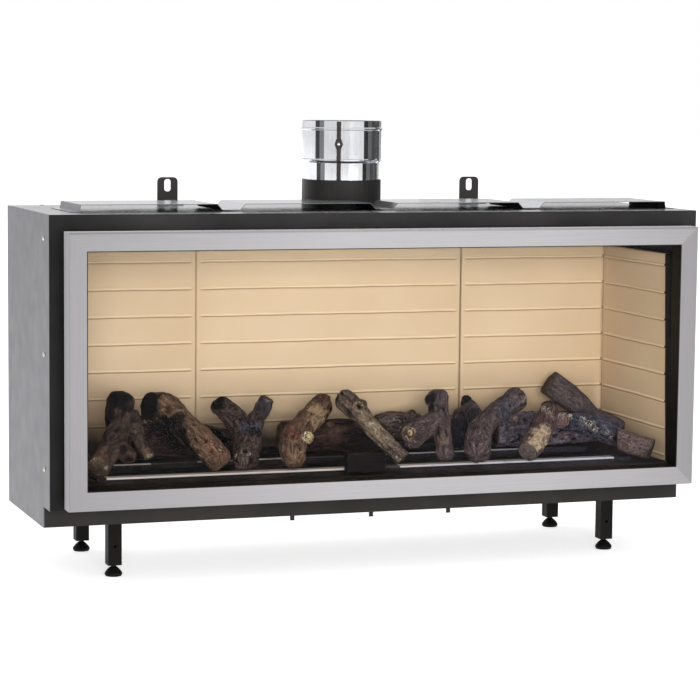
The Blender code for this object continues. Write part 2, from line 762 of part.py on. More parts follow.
# ---- smooth shading on round pieces ----
for obj in PARTS.objects:
    if obj.type != "MESH":
        continue
    if obj.name.startswith(("log_", "foot_", "flue_", "exhaust", "gas_", "side_screw", "bracket_bolt", "pilot_burner")):
        obj.data.shade_smooth()
        obj.data.set_sharp_from_angle(angle=math.radians(40))
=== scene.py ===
"""Looks of the gas fireplace insert: finishes, detailed brick lining, charred ceramic logs, studio and camera."""

import math

import bmesh
import bpy
import numpy as np
from mathutils import Matrix, Vector, noise


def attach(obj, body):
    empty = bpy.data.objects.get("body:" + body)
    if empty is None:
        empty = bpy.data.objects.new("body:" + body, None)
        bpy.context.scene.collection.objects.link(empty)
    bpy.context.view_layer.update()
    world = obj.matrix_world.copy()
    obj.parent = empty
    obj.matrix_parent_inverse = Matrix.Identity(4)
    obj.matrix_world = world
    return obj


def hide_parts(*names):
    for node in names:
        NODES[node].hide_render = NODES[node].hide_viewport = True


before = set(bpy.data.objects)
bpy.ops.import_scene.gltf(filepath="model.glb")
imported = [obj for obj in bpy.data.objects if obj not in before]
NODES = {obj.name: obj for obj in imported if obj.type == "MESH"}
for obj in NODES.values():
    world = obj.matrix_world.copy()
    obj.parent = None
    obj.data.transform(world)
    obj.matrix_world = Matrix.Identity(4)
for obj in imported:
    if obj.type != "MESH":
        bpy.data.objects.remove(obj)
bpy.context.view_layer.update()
SCENE = bpy.context.scene


# ---------------------------------------------------------------- units and colours
def put(x, y, z):
    """Millimetres measured from the casing (front plate at y 0, underside at z 0) to metres in the row's frame."""
    return Vector((x / 1000, (y - 163.7) / 1000, (z + 100.0) / 1000))


def lin(r, g, b):
    """A display colour, 0 to 255, as scene-linear RGBA."""
    out = []
    for c in (r, g, b):
        c /= 255
        out.append(c / 12.92 if c <= 0.04045 else ((c + 0.055) / 1.055) ** 2.4)
    return (*out, 1.0)


# ---------------------------------------------------------------- material helper
class Look:
    """A Principled material under construction; sockets are passed between nodes directly."""

    def __init__(self, name, **values):
        self.mat = bpy.data.materials.new(name)
        self.mat.use_nodes = True
        self.tree = self.mat.node_tree
        self.shader = self.tree.nodes["Principled BSDF"]
        self.set(self.shader, values)
        self._place = None

    def set(self, node, values):
        for key, value in values.items():
            socket = node.inputs[key]
            if isinstance(value, bpy.types.NodeSocket):
                self.tree.links.new(value, socket)
            else:
                socket.default_value = value

    def to(self, **values):
        self.set(self.shader, {k.replace("_", " "): v for k, v in values.items()})

    def node(self, kind, props=None, **values):
        made = self.tree.nodes.new(kind)
        for key, value in (props or {}).items():
            setattr(made, key, value)
        self.set(made, {k.replace("_", " "): v for k, v in values.items()})
        return made

    @property
    def place(self):
        """Object coordinates in metres: every piece sits in the row's frame."""
        if self._place is None:
            self._place = self.node("ShaderNodeTexCoord").outputs["Object"]
        return self._place

    def scaled(self, scale, vector=None, offset=(0, 0, 0)):
        made = self.node("ShaderNodeMapping")
        self.tree.links.new(vector or self.place, made.inputs["Vector"])
        made.inputs["Scale"].default_value = scale
        made.inputs["Location"].default_value = offset
        return made.outputs["Vector"]

    def noise(self, scale, detail=4.0, rough=0.55, vector=None, stretch=(1, 1, 1), offset=(0, 0, 0), distortion=0.0):
        made = self.node("ShaderNodeTexNoise")
        self.tree.links.new(self.scaled(stretch, vector, offset), made.inputs["Vector"])
        made.inputs["Scale"].default_value = scale
        made.inputs["Detail"].default_value = detail
        made.inputs["Roughness"].default_value = rough
        made.inputs["Distortion"].default_value = distortion
        return made.outputs["Fac"]

    def cells(self, scale, feature="F1", vector=None, stretch=(1, 1, 1), out="Distance", randomness=1.0):
        made = self.node("ShaderNodeTexVoronoi", {"feature": feature})
        self.tree.links.new(self.scaled(stretch, vector), made.inputs["Vector"])
        made.inputs["Scale"].default_value = scale
        made.inputs["Randomness"].default_value = randomness
        return made.outputs[out]

    def ramp(self, fac, stops, mode="LINEAR"):
        made = self.node("ShaderNodeValToRGB")
        made.color_ramp.interpolation = mode
        els = made.color_ramp.elements
        els[0].position, els[0].color = stops[0][0], stops[0][1]
        els[1].position, els[1].color = stops[-1][0], stops[-1][1]
        for pos, colour in stops[1:-1]:
            els.new(pos).color = colour
        self.tree.links.new(fac, made.inputs["Fac"])
        return made.outputs["Color"]

    def band(self, fac, low, high, to_min=0.0, to_max=1.0):
        made = self.node("ShaderNodeMapRange")
        made.clamp = True
        self.tree.links.new(fac, made.inputs["Value"])
        for key, value in (("From Min", low), ("From Max", high), ("To Min", to_min), ("To Max", to_max)):
            made.inputs[key].default_value = value
        return made.outputs["Result"]

    def math(self, op, a, b=0.0, c=0.0):
        made = self.node("ShaderNodeMath", {"operation": op})
        for k, value in enumerate((a, b, c)):
            if k >= len(made.inputs):
                break
            if isinstance(value, bpy.types.NodeSocket):
                self.tree.links.new(value, made.inputs[k])
            else:
                made.inputs[k].default_value = value
        return made.outputs[0]

    def mix(self, fac, a, b, blend="MIX"):
        made = self.node("ShaderNodeMix", {"data_type": "RGBA", "blend_type": blend})
        for socket, value in ((made.inputs[0], fac), (made.inputs[6], a), (made.inputs[7], b)):
            if isinstance(value, bpy.types.NodeSocket):
                self.tree.links.new(value, socket)
            else:
                socket.default_value = value
        return made.outputs[2]

    def split(self, vector=None):
        made = self.node("ShaderNodeSeparateXYZ")
        self.tree.links.new(vector or self.place, made.inputs[0])
        return made.outputs

    def bump(self, height, strength=0.3, distance=0.001, normal=None):
        made = self.node("ShaderNodeBump")
        made.inputs["Strength"].default_value = strength
        made.inputs["Distance"].default_value = distance
        self.tree.links.new(height, made.inputs["Height"])
        if normal is not None:
            self.tree.links.new(normal, made.inputs["Normal"])
        self.tree.links.new(made.outputs["Normal"], self.shader.inputs["Normal"])
        return made.outputs["Normal"]

    def attribute(self, name, out="Fac"):
        made = self.node("ShaderNodeAttribute", {"attribute_name": name})
        return made.outputs[out]


def wear(obj, look):
    """Puts one material on every face of an object."""
    obj.data.materials.clear()
    obj.data.materials.append(look.mat)
    for face in obj.data.polygons:
        face.material_index = 0


# ---------------------------------------------------------------- finishes
def galvanised():
    look = Look("galvanised_sheet", Metallic=0.75)
    cloud = look.noise(3.2, 3, 0.5, stretch=(1, 1, 0.6))
    streak = look.noise(9, 4, 0.6, stretch=(1, 1.6, 0.10))
    spangle = look.cells(70, out="Color")
    grey = look.ramp(cloud, [(0.3, lin(109, 108, 112)), (0.5, lin(113, 112, 116)), (0.7, lin(117, 116, 120))])
    grey = look.mix(look.band(streak, 0.35, 0.75, 0, 0.22), grey, lin(102, 102, 106))
    grey = look.mix(look.band(look.split()[1], 0.150, 0.197, 0.03, 0.09), grey, spangle, "OVERLAY")
    look.to(Base_Color=grey, Roughness=look.band(look.noise(26, 4), 0.3, 0.7, 0.42, 0.50))
    look.bump(look.noise(60, 5, 0.6), 0.05, 0.0003)
    return look


def roof_sheet():
    """The same sheet as the casing, but bright and flat, so that it mirrors the room at a low angle."""
    look = Look("bright_roof_sheet", Metallic=0.9)
    roll = look.noise(1.0, 5, 0.6, stretch=(10, 180, 180))
    cloud = look.noise(5, 3, 0.5)
    grey = look.ramp(cloud, [(0.3, lin(184, 184, 188)), (0.7, lin(204, 204, 208))])
    grey = look.mix(0.06, grey, look.cells(70, out="Color"), "OVERLAY")
    look.to(Base_Color=grey, Roughness=look.band(look.noise(22, 4), 0.3, 0.7, 0.21, 0.30))
    look.bump(roll, 0.04, 0.0002)
    return look


def enamel(name, low, high, rough=(0.34, 0.5), metallic=0.0, gloss=0.2, left=1.0, ash=0.0):
    """Dark baked enamel with a faint orange-peel surface and handling marks; left sets how dark a painted shade makes
    its left end, and ash how strongly a pale bluish painted reflection lies over its right.
    """
    look = Look(name, Metallic=metallic)
    look.to(Specular_IOR_Level=gloss)
    cloud = look.noise(7, 4, 0.55, stretch=(1, 1, 1.4))
    fine = look.noise(900, 3, 0.6)
    colour = look.ramp(cloud, [(0.3, lin(*low)), (0.72, lin(*high))])
    colour = look.mix(look.band(fine, 0.62, 0.8, 0, 0.10), colour, lin(*(min(255, c + 30) for c in high)))
    # painted reflection: a pale bluish veil, stronger towards the right
    if ash:
        colour = look.mix(look.band(look.split()[0], -0.05, 0.30, 0.0, ash), colour, lin(82, 80, 88))
    if left < 1:
        # painted shade: darkens the left end, standing in for the trim's shadow
        painted_shade = look.band(look.split()[0], -0.60, -0.45, left, 1.0)
        colour = look.mix(1.0, colour, look.ramp(painted_shade, [(0.0, (0, 0, 0, 1)), (1.0, (1, 1, 1, 1))]), "MULTIPLY")
    look.to(Base_Color=colour, Roughness=look.band(look.noise(20, 4), 0.3, 0.7, *rough))
    look.bump(look.noise(700, 3, 0.5), 0.10, 0.0003)
    return look


def brushed(name, tone, rough=0.3, across=566.0, z0=78.7, z1=495.7, frame_grain=True, metallic=1.0):
    """Brushed stainless steel; on the trim frame the grain follows each bar and meets in mitres at the corners."""
    look = Look(name, Metallic=metallic)
    x, y, z = look.split()
    along_x = look.noise(1.0, 6, 0.62, stretch=(9, 700, 900))
    along_z = look.noise(1.0, 6, 0.62, stretch=(900, 700, 9))
    wide_x = look.noise(1.0, 3, 0.5, stretch=(3.0, 60, 60))
    wide_z = look.noise(1.0, 3, 0.5, stretch=(60, 60, 3.0))
    if frame_grain:
        dx = look.math("SUBTRACT", look.math("ABSOLUTE", x), across / 1000)
        mid = (z0 + z1) / 2000 + 0.1
        dz = look.math("SUBTRACT", look.math("ABSOLUTE", look.math("SUBTRACT", z, mid)), (z1 - z0) / 2000)
        upright = look.math("GREATER_THAN", dx, dz)
    else:
        upright = look.math("MULTIPLY", x, 0.0)
    def pick(a, b):
        made = look.node("ShaderNodeMix", {"data_type": "FLOAT"})
        for socket, value in ((made.inputs[0], upright), (made.inputs[2], a), (made.inputs[3], b)):
            look.tree.links.new(value, socket)
        return made.outputs[0]
    grain, wide = pick(along_x, along_z), pick(wide_x, wide_z)
    base = look.ramp(grain, [(0.25, lin(*(c - 6 for c in tone))), (0.5, lin(*tone)), (0.75, lin(*(c + 5 for c in tone)))])
    base = look.mix(look.band(wide, 0.35, 0.7, 0, 0.10), base, lin(*(c - 10 for c in tone)))
    finish = look.band(grain, 0.3, 0.7, rough - 0.02, rough + 0.05)
    if frame_grain:
        # painted shade: the uprights and the ends of the bars are darkened, which leaves a painted highlight along the
        # middle of the bars
        ends = look.band(look.math("ABSOLUTE", look.math("ADD", x, -0.1)), 0.2, 0.7, 1.0, 0.70)
        painted_shade = look.math("MULTIPLY", ends, look.math("MULTIPLY_ADD", upright, look.band(x, -0.1, 0.1, -0.01, -0.17), 1.0))
        base = look.mix(1.0, base, look.ramp(painted_shade, [(0.0, (0, 0, 0, 1)), (1.0, (1, 1, 1, 1))]), "MULTIPLY")
        # a painted shade runs just within the outer arris, on the left and along the top, standing in for the shading
        # of the rounded edge
        out = look.math("MAXIMUM", dx, dz)
        upper, lefthand = look.band(z, mid, mid + 0.05), look.band(x, 0.0, -0.1)
        line = look.math("MULTIPLY", look.band(out, 0.0303, 0.0312), pick(look.math("MULTIPLY", upper, 0.30), look.math("MULTIPLY", lefthand, 0.11)))
        base = look.mix(line, base, (0.02, 0.02, 0.02, 1))
        # painted highlight: the left and top returns are pale and not metallic, standing in for the light they catch
        facing = look.split(look.node("ShaderNodeNewGeometry").outputs["True Normal"])
        outer = look.band(out, 0.0330, 0.0340)
        flank, crest = look.math("MULTIPLY", look.band(facing[0], -0.5, -0.8), outer), look.math("MULTIPLY", look.band(facing[2], 0.5, 0.8), outer)
        painted_highlight = look.math("MAXIMUM", flank, crest)
        base = look.mix(flank, base, look.ramp(grain, [(0.3, lin(162, 161, 163)), (0.7, lin(172, 171, 173))]))
        base = look.mix(crest, base, look.ramp(grain, [(0.3, lin(240, 239, 241)), (0.7, lin(248, 247, 249))]))
        # painted shade: the opening's edge and its return are painted black, standing in for the shadow gap where the
        # return would mirror the lit lining
        painted_shade_return = look.math("LESS_THAN", out, 0.0015)
        base = look.mix(painted_shade_return, base, look.ramp(look.noise(300, 3), [(0.3, lin(8, 7, 7)), (0.7, lin(17, 15, 14))]))
        finish = look.math("ADD", finish, look.math("MULTIPLY", painted_shade_return, 0.3))
        look.to(Metallic=look.math("MULTIPLY_ADD", look.math("MAXIMUM", painted_shade_return, painted_highlight), -metallic, metallic))
        look.to(Specular_IOR_Level=0.2)
    look.to(Base_Color=base, Roughness=finish)
    look.bump(grain, 0.10, 0.0002)
    return look


def tray_steel():
    """Stainless tray: only the top edges of the two lips stay bright, clean steel with a painted highlight; the rest
    is sooted.
    """
    look = Look("tray_steel")
    x, y, z = look.split()
    at_front = look.math("LESS_THAN", y, -0.0862)
    front_edge = look.band(z, 0.1806, 0.1812)
    rear_edge = look.band(z, 0.1826, 0.1832)
    edge = look.node("ShaderNodeMix", {"data_type": "FLOAT"})
    for socket, value in ((edge.inputs[0], at_front), (edge.inputs[2], rear_edge), (edge.inputs[3], front_edge)):
        look.tree.links.new(value, socket)
    # painted highlight: the lips' top edges are pale and half metallic, as if lit from the front
    lit_edge = look.math("MULTIPLY", edge.outputs[0], look.band(look.noise(16, 4, 0.6), 0.28, 0.42, 0.55, 1.0))
    reach = look.math("MULTIPLY_ADD", at_front, 0.008, 0.499)
    lit_edge = look.math("MULTIPLY", lit_edge, look.math("LESS_THAN", look.math("ABSOLUTE", x), reach))
    lit_edge = look.math("MULTIPLY", lit_edge, look.math("LESS_THAN", x, look.math("MULTIPLY_ADD", at_front, 0.124, 0.365)))
    # painted shadows of the logs on the lips: (middle, half length, on the front lip)
    for middle, half, front in ((-0.342, 0.045, 0), (-0.04, 0.046, 0), (0.034, 0.018, 1)):
        log_shadow = look.math("LESS_THAN", look.math("ABSOLUTE", look.math("ADD", x, -middle)), half)
        lip = at_front if front else look.math("SUBTRACT", 1.0, at_front)
        lit_edge = look.math("MULTIPLY", lit_edge, look.math("MULTIPLY_ADD", look.math("MULTIPLY", log_shadow, lip), -0.93, 1.0))
    soot = look.ramp(look.noise(60, 4, 0.6), [(0.3, lin(15, 12, 12)), (0.7, lin(34, 28, 27))])
    # painted reflection: a pale bluish veil, stronger towards the right, over the soot and the steel
    soot = look.mix(look.band(x, -0.02, 0.30, 0.0, 0.6), soot, lin(50, 48, 58))
    steel = look.ramp(look.noise(1.0, 5, 0.6, stretch=(10, 600, 600)), [(0.3, lin(206, 196, 190)), (0.7, lin(240, 232, 226))])
    steel = look.mix(look.band(x, -0.02, 0.22, 0.0, 0.8), steel, lin(222, 222, 236))
    look.to(Base_Color=look.mix(lit_edge, soot, steel), Metallic=look.math("MULTIPLY", lit_edge, 0.35), Roughness=look.band(lit_edge, 0, 1, 0.7, 0.34))
    look.shader.inputs["Specular IOR Level"].default_value = 0.25
    look.bump(look.noise(400, 3), 0.1, 0.0002)
    return look


def polished():
    look = Look("polished_flue_steel", Metallic=1.0)
    draw = look.noise(1.0, 4, 0.55, stretch=(500, 500, 12))
    smear = look.noise(16, 4, 0.6)
    colour = look.ramp(smear, [(0.3, lin(214, 215, 218)), (0.7, lin(236, 237, 240))])
    look.to(Base_Color=colour, Roughness=look.band(draw, 0.3, 0.7, 0.07, 0.16))
    look.bump(draw, 0.05, 0.0002)
    return look


def sheet_steel():
    look = Look("pressed_shield_sheet", Metallic=0.9)
    roll = look.noise(1.0, 5, 0.6, stretch=(14, 260, 260))
    colour = look.ramp(roll, [(0.3, lin(218, 219, 222)), (0.7, lin(236, 237, 240))])
    facing = look.split(look.node("ShaderNodeNewGeometry").outputs["True Normal"])
    # painted shade: the underside and the right end walls of the tunnels are darkened and made non-metallic, and the
    # sheared front edge and the left end wall are dulled
    end_wall = look.math("MULTIPLY", look.band(facing[0], -0.3, -0.6), look.band(look.split()[0], 0.50, 0.52))
    under = look.math("MAXIMUM", look.band(facing[2], -0.12, -0.35), end_wall)
    flank = look.math("MULTIPLY", look.band(facing[0], -0.3, -0.6, 0, 0.6), look.band(look.split()[0], -0.50, -0.52))
    edge = look.math("MAXIMUM", look.band(facing[1], -0.6, -0.8, 0, 0.8), flank)
    colour = look.mix(edge, colour, look.ramp(look.noise(200, 3), [(0.3, lin(72, 72, 74)), (0.7, lin(104, 104, 106))]))
    colour = look.mix(under, colour, look.ramp(look.noise(40, 4), [(0.3, lin(16, 16, 17)), (0.7, lin(34, 33, 34))]))
    rough = look.band(look.noise(30, 4), 0.3, 0.7, 0.15, 0.25)
    look.to(Base_Color=colour, Roughness=look.math("MAXIMUM", rough, look.math("MULTIPLY", look.math("MAXIMUM", under, edge), 0.85)))
    look.to(Metallic=look.band(under, 0, 1, 0.9, 0.05), Specular_IOR_Level=0.2)
    look.bump(roll, 0.08, 0.0003)
    return look


def zinc():
    look = Look("zinc_plate", Metallic=1.0)
    colour = look.ramp(look.noise(160, 4), [(0.3, lin(176, 176, 172)), (0.7, lin(222, 222, 216))])
    look.to(Base_Color=colour, Roughness=look.band(look.noise(300, 3), 0.3, 0.7, 0.18, 0.36))
    look.bump(look.noise(500, 3), 0.1, 0.0002)
    return look


def brass():
    look = Look("turned_brass", Metallic=1.0)
    colour = look.ramp(look.noise(120, 4), [(0.3, lin(176, 140, 72)), (0.7, lin(214, 180, 104))])
    look.to(Base_Color=colour, Roughness=look.band(look.noise(1, 3, vector=look.place, stretch=(60, 60, 1500)), 0.3, 0.7, 0.2, 0.36))
    look.bump(look.noise(1, 3, stretch=(60, 60, 1500)), 0.1, 0.0002)
    return look


def copper():
    look = Look("drawn_copper", Metallic=1.0)
    colour = look.ramp(look.noise(70, 5), [(0.3, lin(150, 84, 56)), (0.7, lin(206, 132, 96))])
    look.to(Base_Color=colour, Roughness=look.band(look.noise(200, 3), 0.3, 0.7, 0.25, 0.45))
    look.bump(look.noise(400, 3), 0.1, 0.0002)
    return look


def heat_glass():
    """Clear pane: thin, so light passes straight through and only a faint reflection stays."""
    look = Look("ceramic_glass", Roughness=0.03, IOR=1.5)
    smear = look.noise(4, 3, 0.5)
    look.to(Base_Color=look.ramp(smear, [(0.3, (0.010, 0.010, 0.012, 1)), (0.7, (0.020, 0.020, 0.024, 1))]), Alpha=look.band(smear, 0.3, 0.7, 0.03, 0.045))
    return look


def rope():
    look = Look("glass_rope", Roughness=0.95)
    twist = look.node("ShaderNodeTexWave", {"wave_type": "BANDS", "bands_direction": "DIAGONAL"})
    look.tree.links.new(look.place, twist.inputs["Vector"])
    twist.inputs["Scale"].default_value = 160
    twist.inputs["Distortion"].default_value = 1.5
    look.to(Base_Color=look.ramp(twist.outputs["Fac"], [(0.2, lin(34, 34, 34)), (0.8, lin(74, 74, 72))]))
    look.bump(twist.outputs["Fac"], 0.5, 0.001)
    return look


GALVANISED = galvanised()
ROOF = roof_sheet()
MASK = enamel("front_plate_enamel", (32, 31, 31), (46, 44, 44), (0.32, 0.46), gloss=0.11, left=0.40)
BAND = enamel("base_enamel", (34, 32, 31), (47, 44, 42), (0.36, 0.5), gloss=0.12)
BRACKET = enamel("bracket_enamel", (40, 39, 38), (54, 52, 51), (0.36, 0.5))
BLACK = enamel("black_heat_paint", (9, 9, 10), (19, 18, 19), (0.45, 0.65), gloss=0.12)
# the firebox paint carries a pale bluish painted reflection towards its right
SHELL = enamel("firebox_paint", (14, 12, 11), (30, 26, 24), (0.5, 0.7), gloss=0.12, ash=0.35)
PILOT = enamel("pilot_cover_paint", (13, 11, 11), (24, 20, 20), (0.4, 0.55), gloss=0.06)
COLLAR = enamel("collar_enamel", (22, 21, 20), (34, 32, 31), (0.34, 0.48), gloss=0.28)
LEG = enamel("leg_paint", (12, 11, 10), (22, 20, 18), (0.4, 0.55), gloss=0.08)
FOOT = enamel("foot_plastic", (8, 8, 8), (16, 15, 15), (0.34, 0.5), gloss=0.12)
TRIM = brushed("trim_brushed_steel", (157, 155, 157), 0.3, metallic=0.6)
TRAY = tray_steel()
POLISHED = polished()
SHIELD = sheet_steel()
ZINC = zinc()
BRASS = brass()
COPPER = copper()
GLASS = heat_glass()
ROPE = rope()

finishes = {
    GALVANISED: ("side_panel_left", "side_panel_right", "back_panel"),
    ROOF: ("top_panel",),
    MASK: ("front_plate",),
    BAND: ("base_pan",),
    BRACKET: ("wall_bracket_left", "wall_bracket_right"),
    BLACK: ("relief_hatch", "glass_frame", "burner_plate"),
    SHELL: ("firebox_shell",),
    PILOT: ("pilot_cover",),
    COLLAR: ("flue_collar",),
    LEG: ("leg_front_left", "leg_front_right", "leg_back_left", "leg_back_right"),
    FOOT: ("foot_front_left", "foot_front_right", "foot_back_left", "foot_back_right"),
    TRIM: ("trim_frame",),
    TRAY: ("burner_tray",),
    POLISHED: ("flue_adapter", "exhaust_pipe"),
    SHIELD: ("heat_shield",),
    ZINC: ("bracket_bolt_left", "bracket_bolt_right", "pilot_burner", *(f"side_screw_{s}_{w}" for s in ("left", "right") for w in ("lower", "middle", "upper"))),
    BRASS: ("gas_inlet",),
    COPPER: ("gas_pipe",),
    GLASS: ("glass_pane",),
    ROPE: ("glass_seal",),
}
for look, names in finishes.items():
    for name in names:
        wear(NODES[name], look)


def soften(names, width, segments=2, angle=40):
    """Rounds the sharp edges of folded sheet and castings."""
    for name in names:
        bevel = NODES[name].modifiers.new("soft_edges", "BEVEL")
        bevel.width = width / 1000
        bevel.segments = segments
        bevel.limit_method = "ANGLE"
        bevel.angle_limit = math.radians(angle)


soften(("trim_frame",), 1.4, 3)
soften(("side_panel_left", "side_panel_right", "front_plate", "base_pan", "wall_bracket_left", "wall_bracket_right", "pilot_cover", "burner_tray"), 0.45)
soften(("leg_front_left", "leg_front_right", "leg_back_left", "leg_back_right"), 1.6)


# ---------------------------------------------------------------- folded flanges and fixings at the back
def finish_piece(name, shell, look, body="firebox", sharp=40):
    """Turns a bmesh of closed solids into a piece that rides on a body."""
    bmesh.ops.recalc_face_normals(shell, faces=shell.faces)
    data = bpy.data.meshes.new(name)
    shell.to_mesh(data)
    shell.free()
    data.shade_smooth()
    data.set_sharp_from_angle(angle=math.radians(sharp))
    obj = bpy.data.objects.new(name, data)
    SCENE.collection.objects.link(obj)
    wear(obj, look)
    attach(obj, body)
    return obj


def flange_strips(name, rects, y0, y1):
    """Thin folded strips on the back face with rounded corners and edges, (x0, x1, z0, z1) each."""
    shell = bmesh.new()
    for x0, x1, z0, z1 in rects:
        outline = []
        for cx, cz, start in ((x1 - 3, z1 - 3, 0), (x0 + 3, z1 - 3, 90), (x0 + 3, z0 + 3, 180), (x1 - 3, z0 + 3, 270)):
            for k in range(5):
                a = math.radians(start + 22.5 * k)
                outline.append((cx, cz, math.cos(a), math.sin(a)))
        rows = []
        for y, inset in ((y0, 0.0), (y1 - 0.35, 0.0), (y1 - 0.1, 0.12), (y1, 0.4)):
            rows.append([shell.verts.new(put(cx + (3 - inset) * ca, y, cz + (3 - inset) * sa)) for cx, cz, ca, sa in outline])
        for a, b in zip(rows[:-1], rows[1:]):
            for k in range(len(outline)):
                m = (k + 1) % len(outline)
                shell.faces.new((a[k], a[m], b[m], b[k]))
        shell.faces.new(list(reversed(rows[0])))
        shell.faces.new(rows[-1])
    return finish_piece(name, shell, GALVANISED)


def swages(name, levels, x0, x1, y):
    """Pressed stiffening ridges with tapered ends across the back panel."""
    shell = bmesh.new()
    for level in levels:
        rows = []
        stations = np.concatenate([np.linspace(x0, x0 + 30, 9), np.linspace(x0 + 60, x1 - 60, 12), np.linspace(x1 - 30, x1, 9)])
        for x in stations:
            taper = math.sin(0.5 * math.pi * min(1.0, (x - x0) / 30, (x1 - x) / 30)) if x0 < x < x1 else 0.0
            half, rise = 3.0 + 6.0 * taper, 0.15 + 2.0 * taper
            row = [shell.verts.new(put(x, y + rise * math.sin(math.pi * t) ** 1.4 - 0.05, level + half * (2 * t - 1))) for t in np.linspace(0, 1, 11)]
            row += [shell.verts.new(put(x, y - 0.3, level + half)), shell.verts.new(put(x, y - 0.3, level - half))]
            rows.append(row)
        count = len(rows[0])
        for a, b in zip(rows[:-1], rows[1:]):
            for k in range(count):
                shell.faces.new((a[k], a[(k + 1) % count], b[(k + 1) % count], b[k]))
        shell.faces.new(list(reversed(rows[0])))
        shell.faces.new(rows[-1])
    return finish_piece(name, shell, GALVANISED, sharp=60)


def rivets(name, spots, out):
    """Domed blind rivets at casing points; out is the axis they stand along, "Y" or "Z"."""
    shell = bmesh.new()
    profile = ((4.0, -0.2), (4.0, 0.45), (3.7, 1.1), (2.8, 1.6), (1.6, 1.85), (1.3, 1.75), (1.15, 1.1), (0.5, 1.0))
    for x, y, z in spots:
        rows = []
        for r, h in profile:
            row = []
            for a in np.linspace(0, 2 * math.pi, 20, endpoint=False):
                u, v = r * math.cos(a), r * math.sin(a)
                row.append(shell.verts.new(put(x + u, y + h, z + v) if out == "Y" else put(x + u, y + v, z + h)))
            rows.append(row)
        for a, b in zip(rows[:-1], rows[1:]):
            for k in range(20):
                shell.faces.new((a[k], a[(k + 1) % 20], b[(k + 1) % 20], b[k]))
        shell.faces.new(list(reversed(rows[0])))
        shell.faces.new(rows[-1])
    return finish_piece(name, shell, ZINC)


flange_strips("back_flanges", ((-621, -601, 3, 555), (601, 621, 3, 555), (-599.5, 599.5, 538, 555), (-599.5, 599.5, 3, 20)), 361.9, 363.0)
swages("back_swages", (150.0, 285.0, 420.0), -520.0, 520.0, 362.0)
back_spots = [(x, 362.95, z) for x in (-611, 611) for z in (60, 205, 352, 498)] + [(x, 362.95, z) for z in (11.5, 546.5) for x in (-540, -360, -180, 0, 180, 360, 540)]
rivets("back_rivets", back_spots, "Y")
rivets("roof_rivets", [(x, 349, 557.95) for x in (-560, -430, -190, 190, 430, 560)], "Z")


# ---------------------------------------------------------------- adapter seam
def seam_strip():
    """The lap seam down the adapter, darkened as a painted dark reflection, and wider round the rivet: a thin closed
    strip.
    """
    middle, shell = math.radians(-113), bmesh.new()
    for low, high in ((579.0, 719.6),):
        rows = []
        for z in np.linspace(low, high, 120):
            radius = float(np.interp(z, (641, 645, 647, 649, 702, 704, 706, 708), (71, 75.4, 75.8, 75, 75, 76.6, 76.6, 75)))
            half = 4.3 + 4.2 * max(0.0, 1 - abs(z - 677) / 11.0) + 0.15 * math.sin(z * 0.6)
            end = min(1.0, (z - low) / 1.0, (high - z) / 1.0)
            row = []
            for k, (side, rise) in enumerate(((-1.0, -0.5), (-0.9, 0.32), (-0.5, 0.42), (0.0, 0.45), (0.5, 0.42), (0.9, 0.32), (1.0, -0.5), (0.0, -0.6))):
                a = middle + side * half / radius
                r = radius + (rise * end - 0.5 * (1 - end) if rise > 0 else rise)
                row.append(shell.verts.new(put(r * math.cos(a), 258 + r * math.sin(a), z)))
            rows.append(row)
        for a, b in zip(rows[:-1], rows[1:]):
            for k in range(8):
                shell.faces.new((a[k], a[(k + 1) % 8], b[(k + 1) % 8], b[k]))
        shell.faces.new(list(reversed(rows[0])))
        shell.faces.new(rows[-1])
    bmesh.ops.recalc_face_normals(shell, faces=shell.faces)
    data = bpy.data.meshes.new("adapter_seam")
    shell.to_mesh(data)
    shell.free()
    data.shade_smooth()
    data.set_sharp_from_angle(angle=math.radians(40))
    obj = bpy.data.objects.new("adapter_seam", data)
    SCENE.collection.objects.link(obj)
    # painted reflection: the seam's dark tone stands in for the dark it mirrors
    look = Look("seam_painted_dark_reflection", Metallic=0.55)
    tint = look.noise(1.0, 4, 0.6, stretch=(400, 400, 40))
    look.to(Base_Color=look.ramp(tint, [(0.3, lin(46, 42, 42)), (0.7, lin(72, 67, 66))]), Roughness=look.band(tint, 0.3, 0.7, 0.42, 0.6))
    look.to(Specular_IOR_Level=0.2)
    look.bump(tint, 0.15, 0.0003)
    wear(obj, look)
    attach(obj, "flue_adapter")


seam_strip()


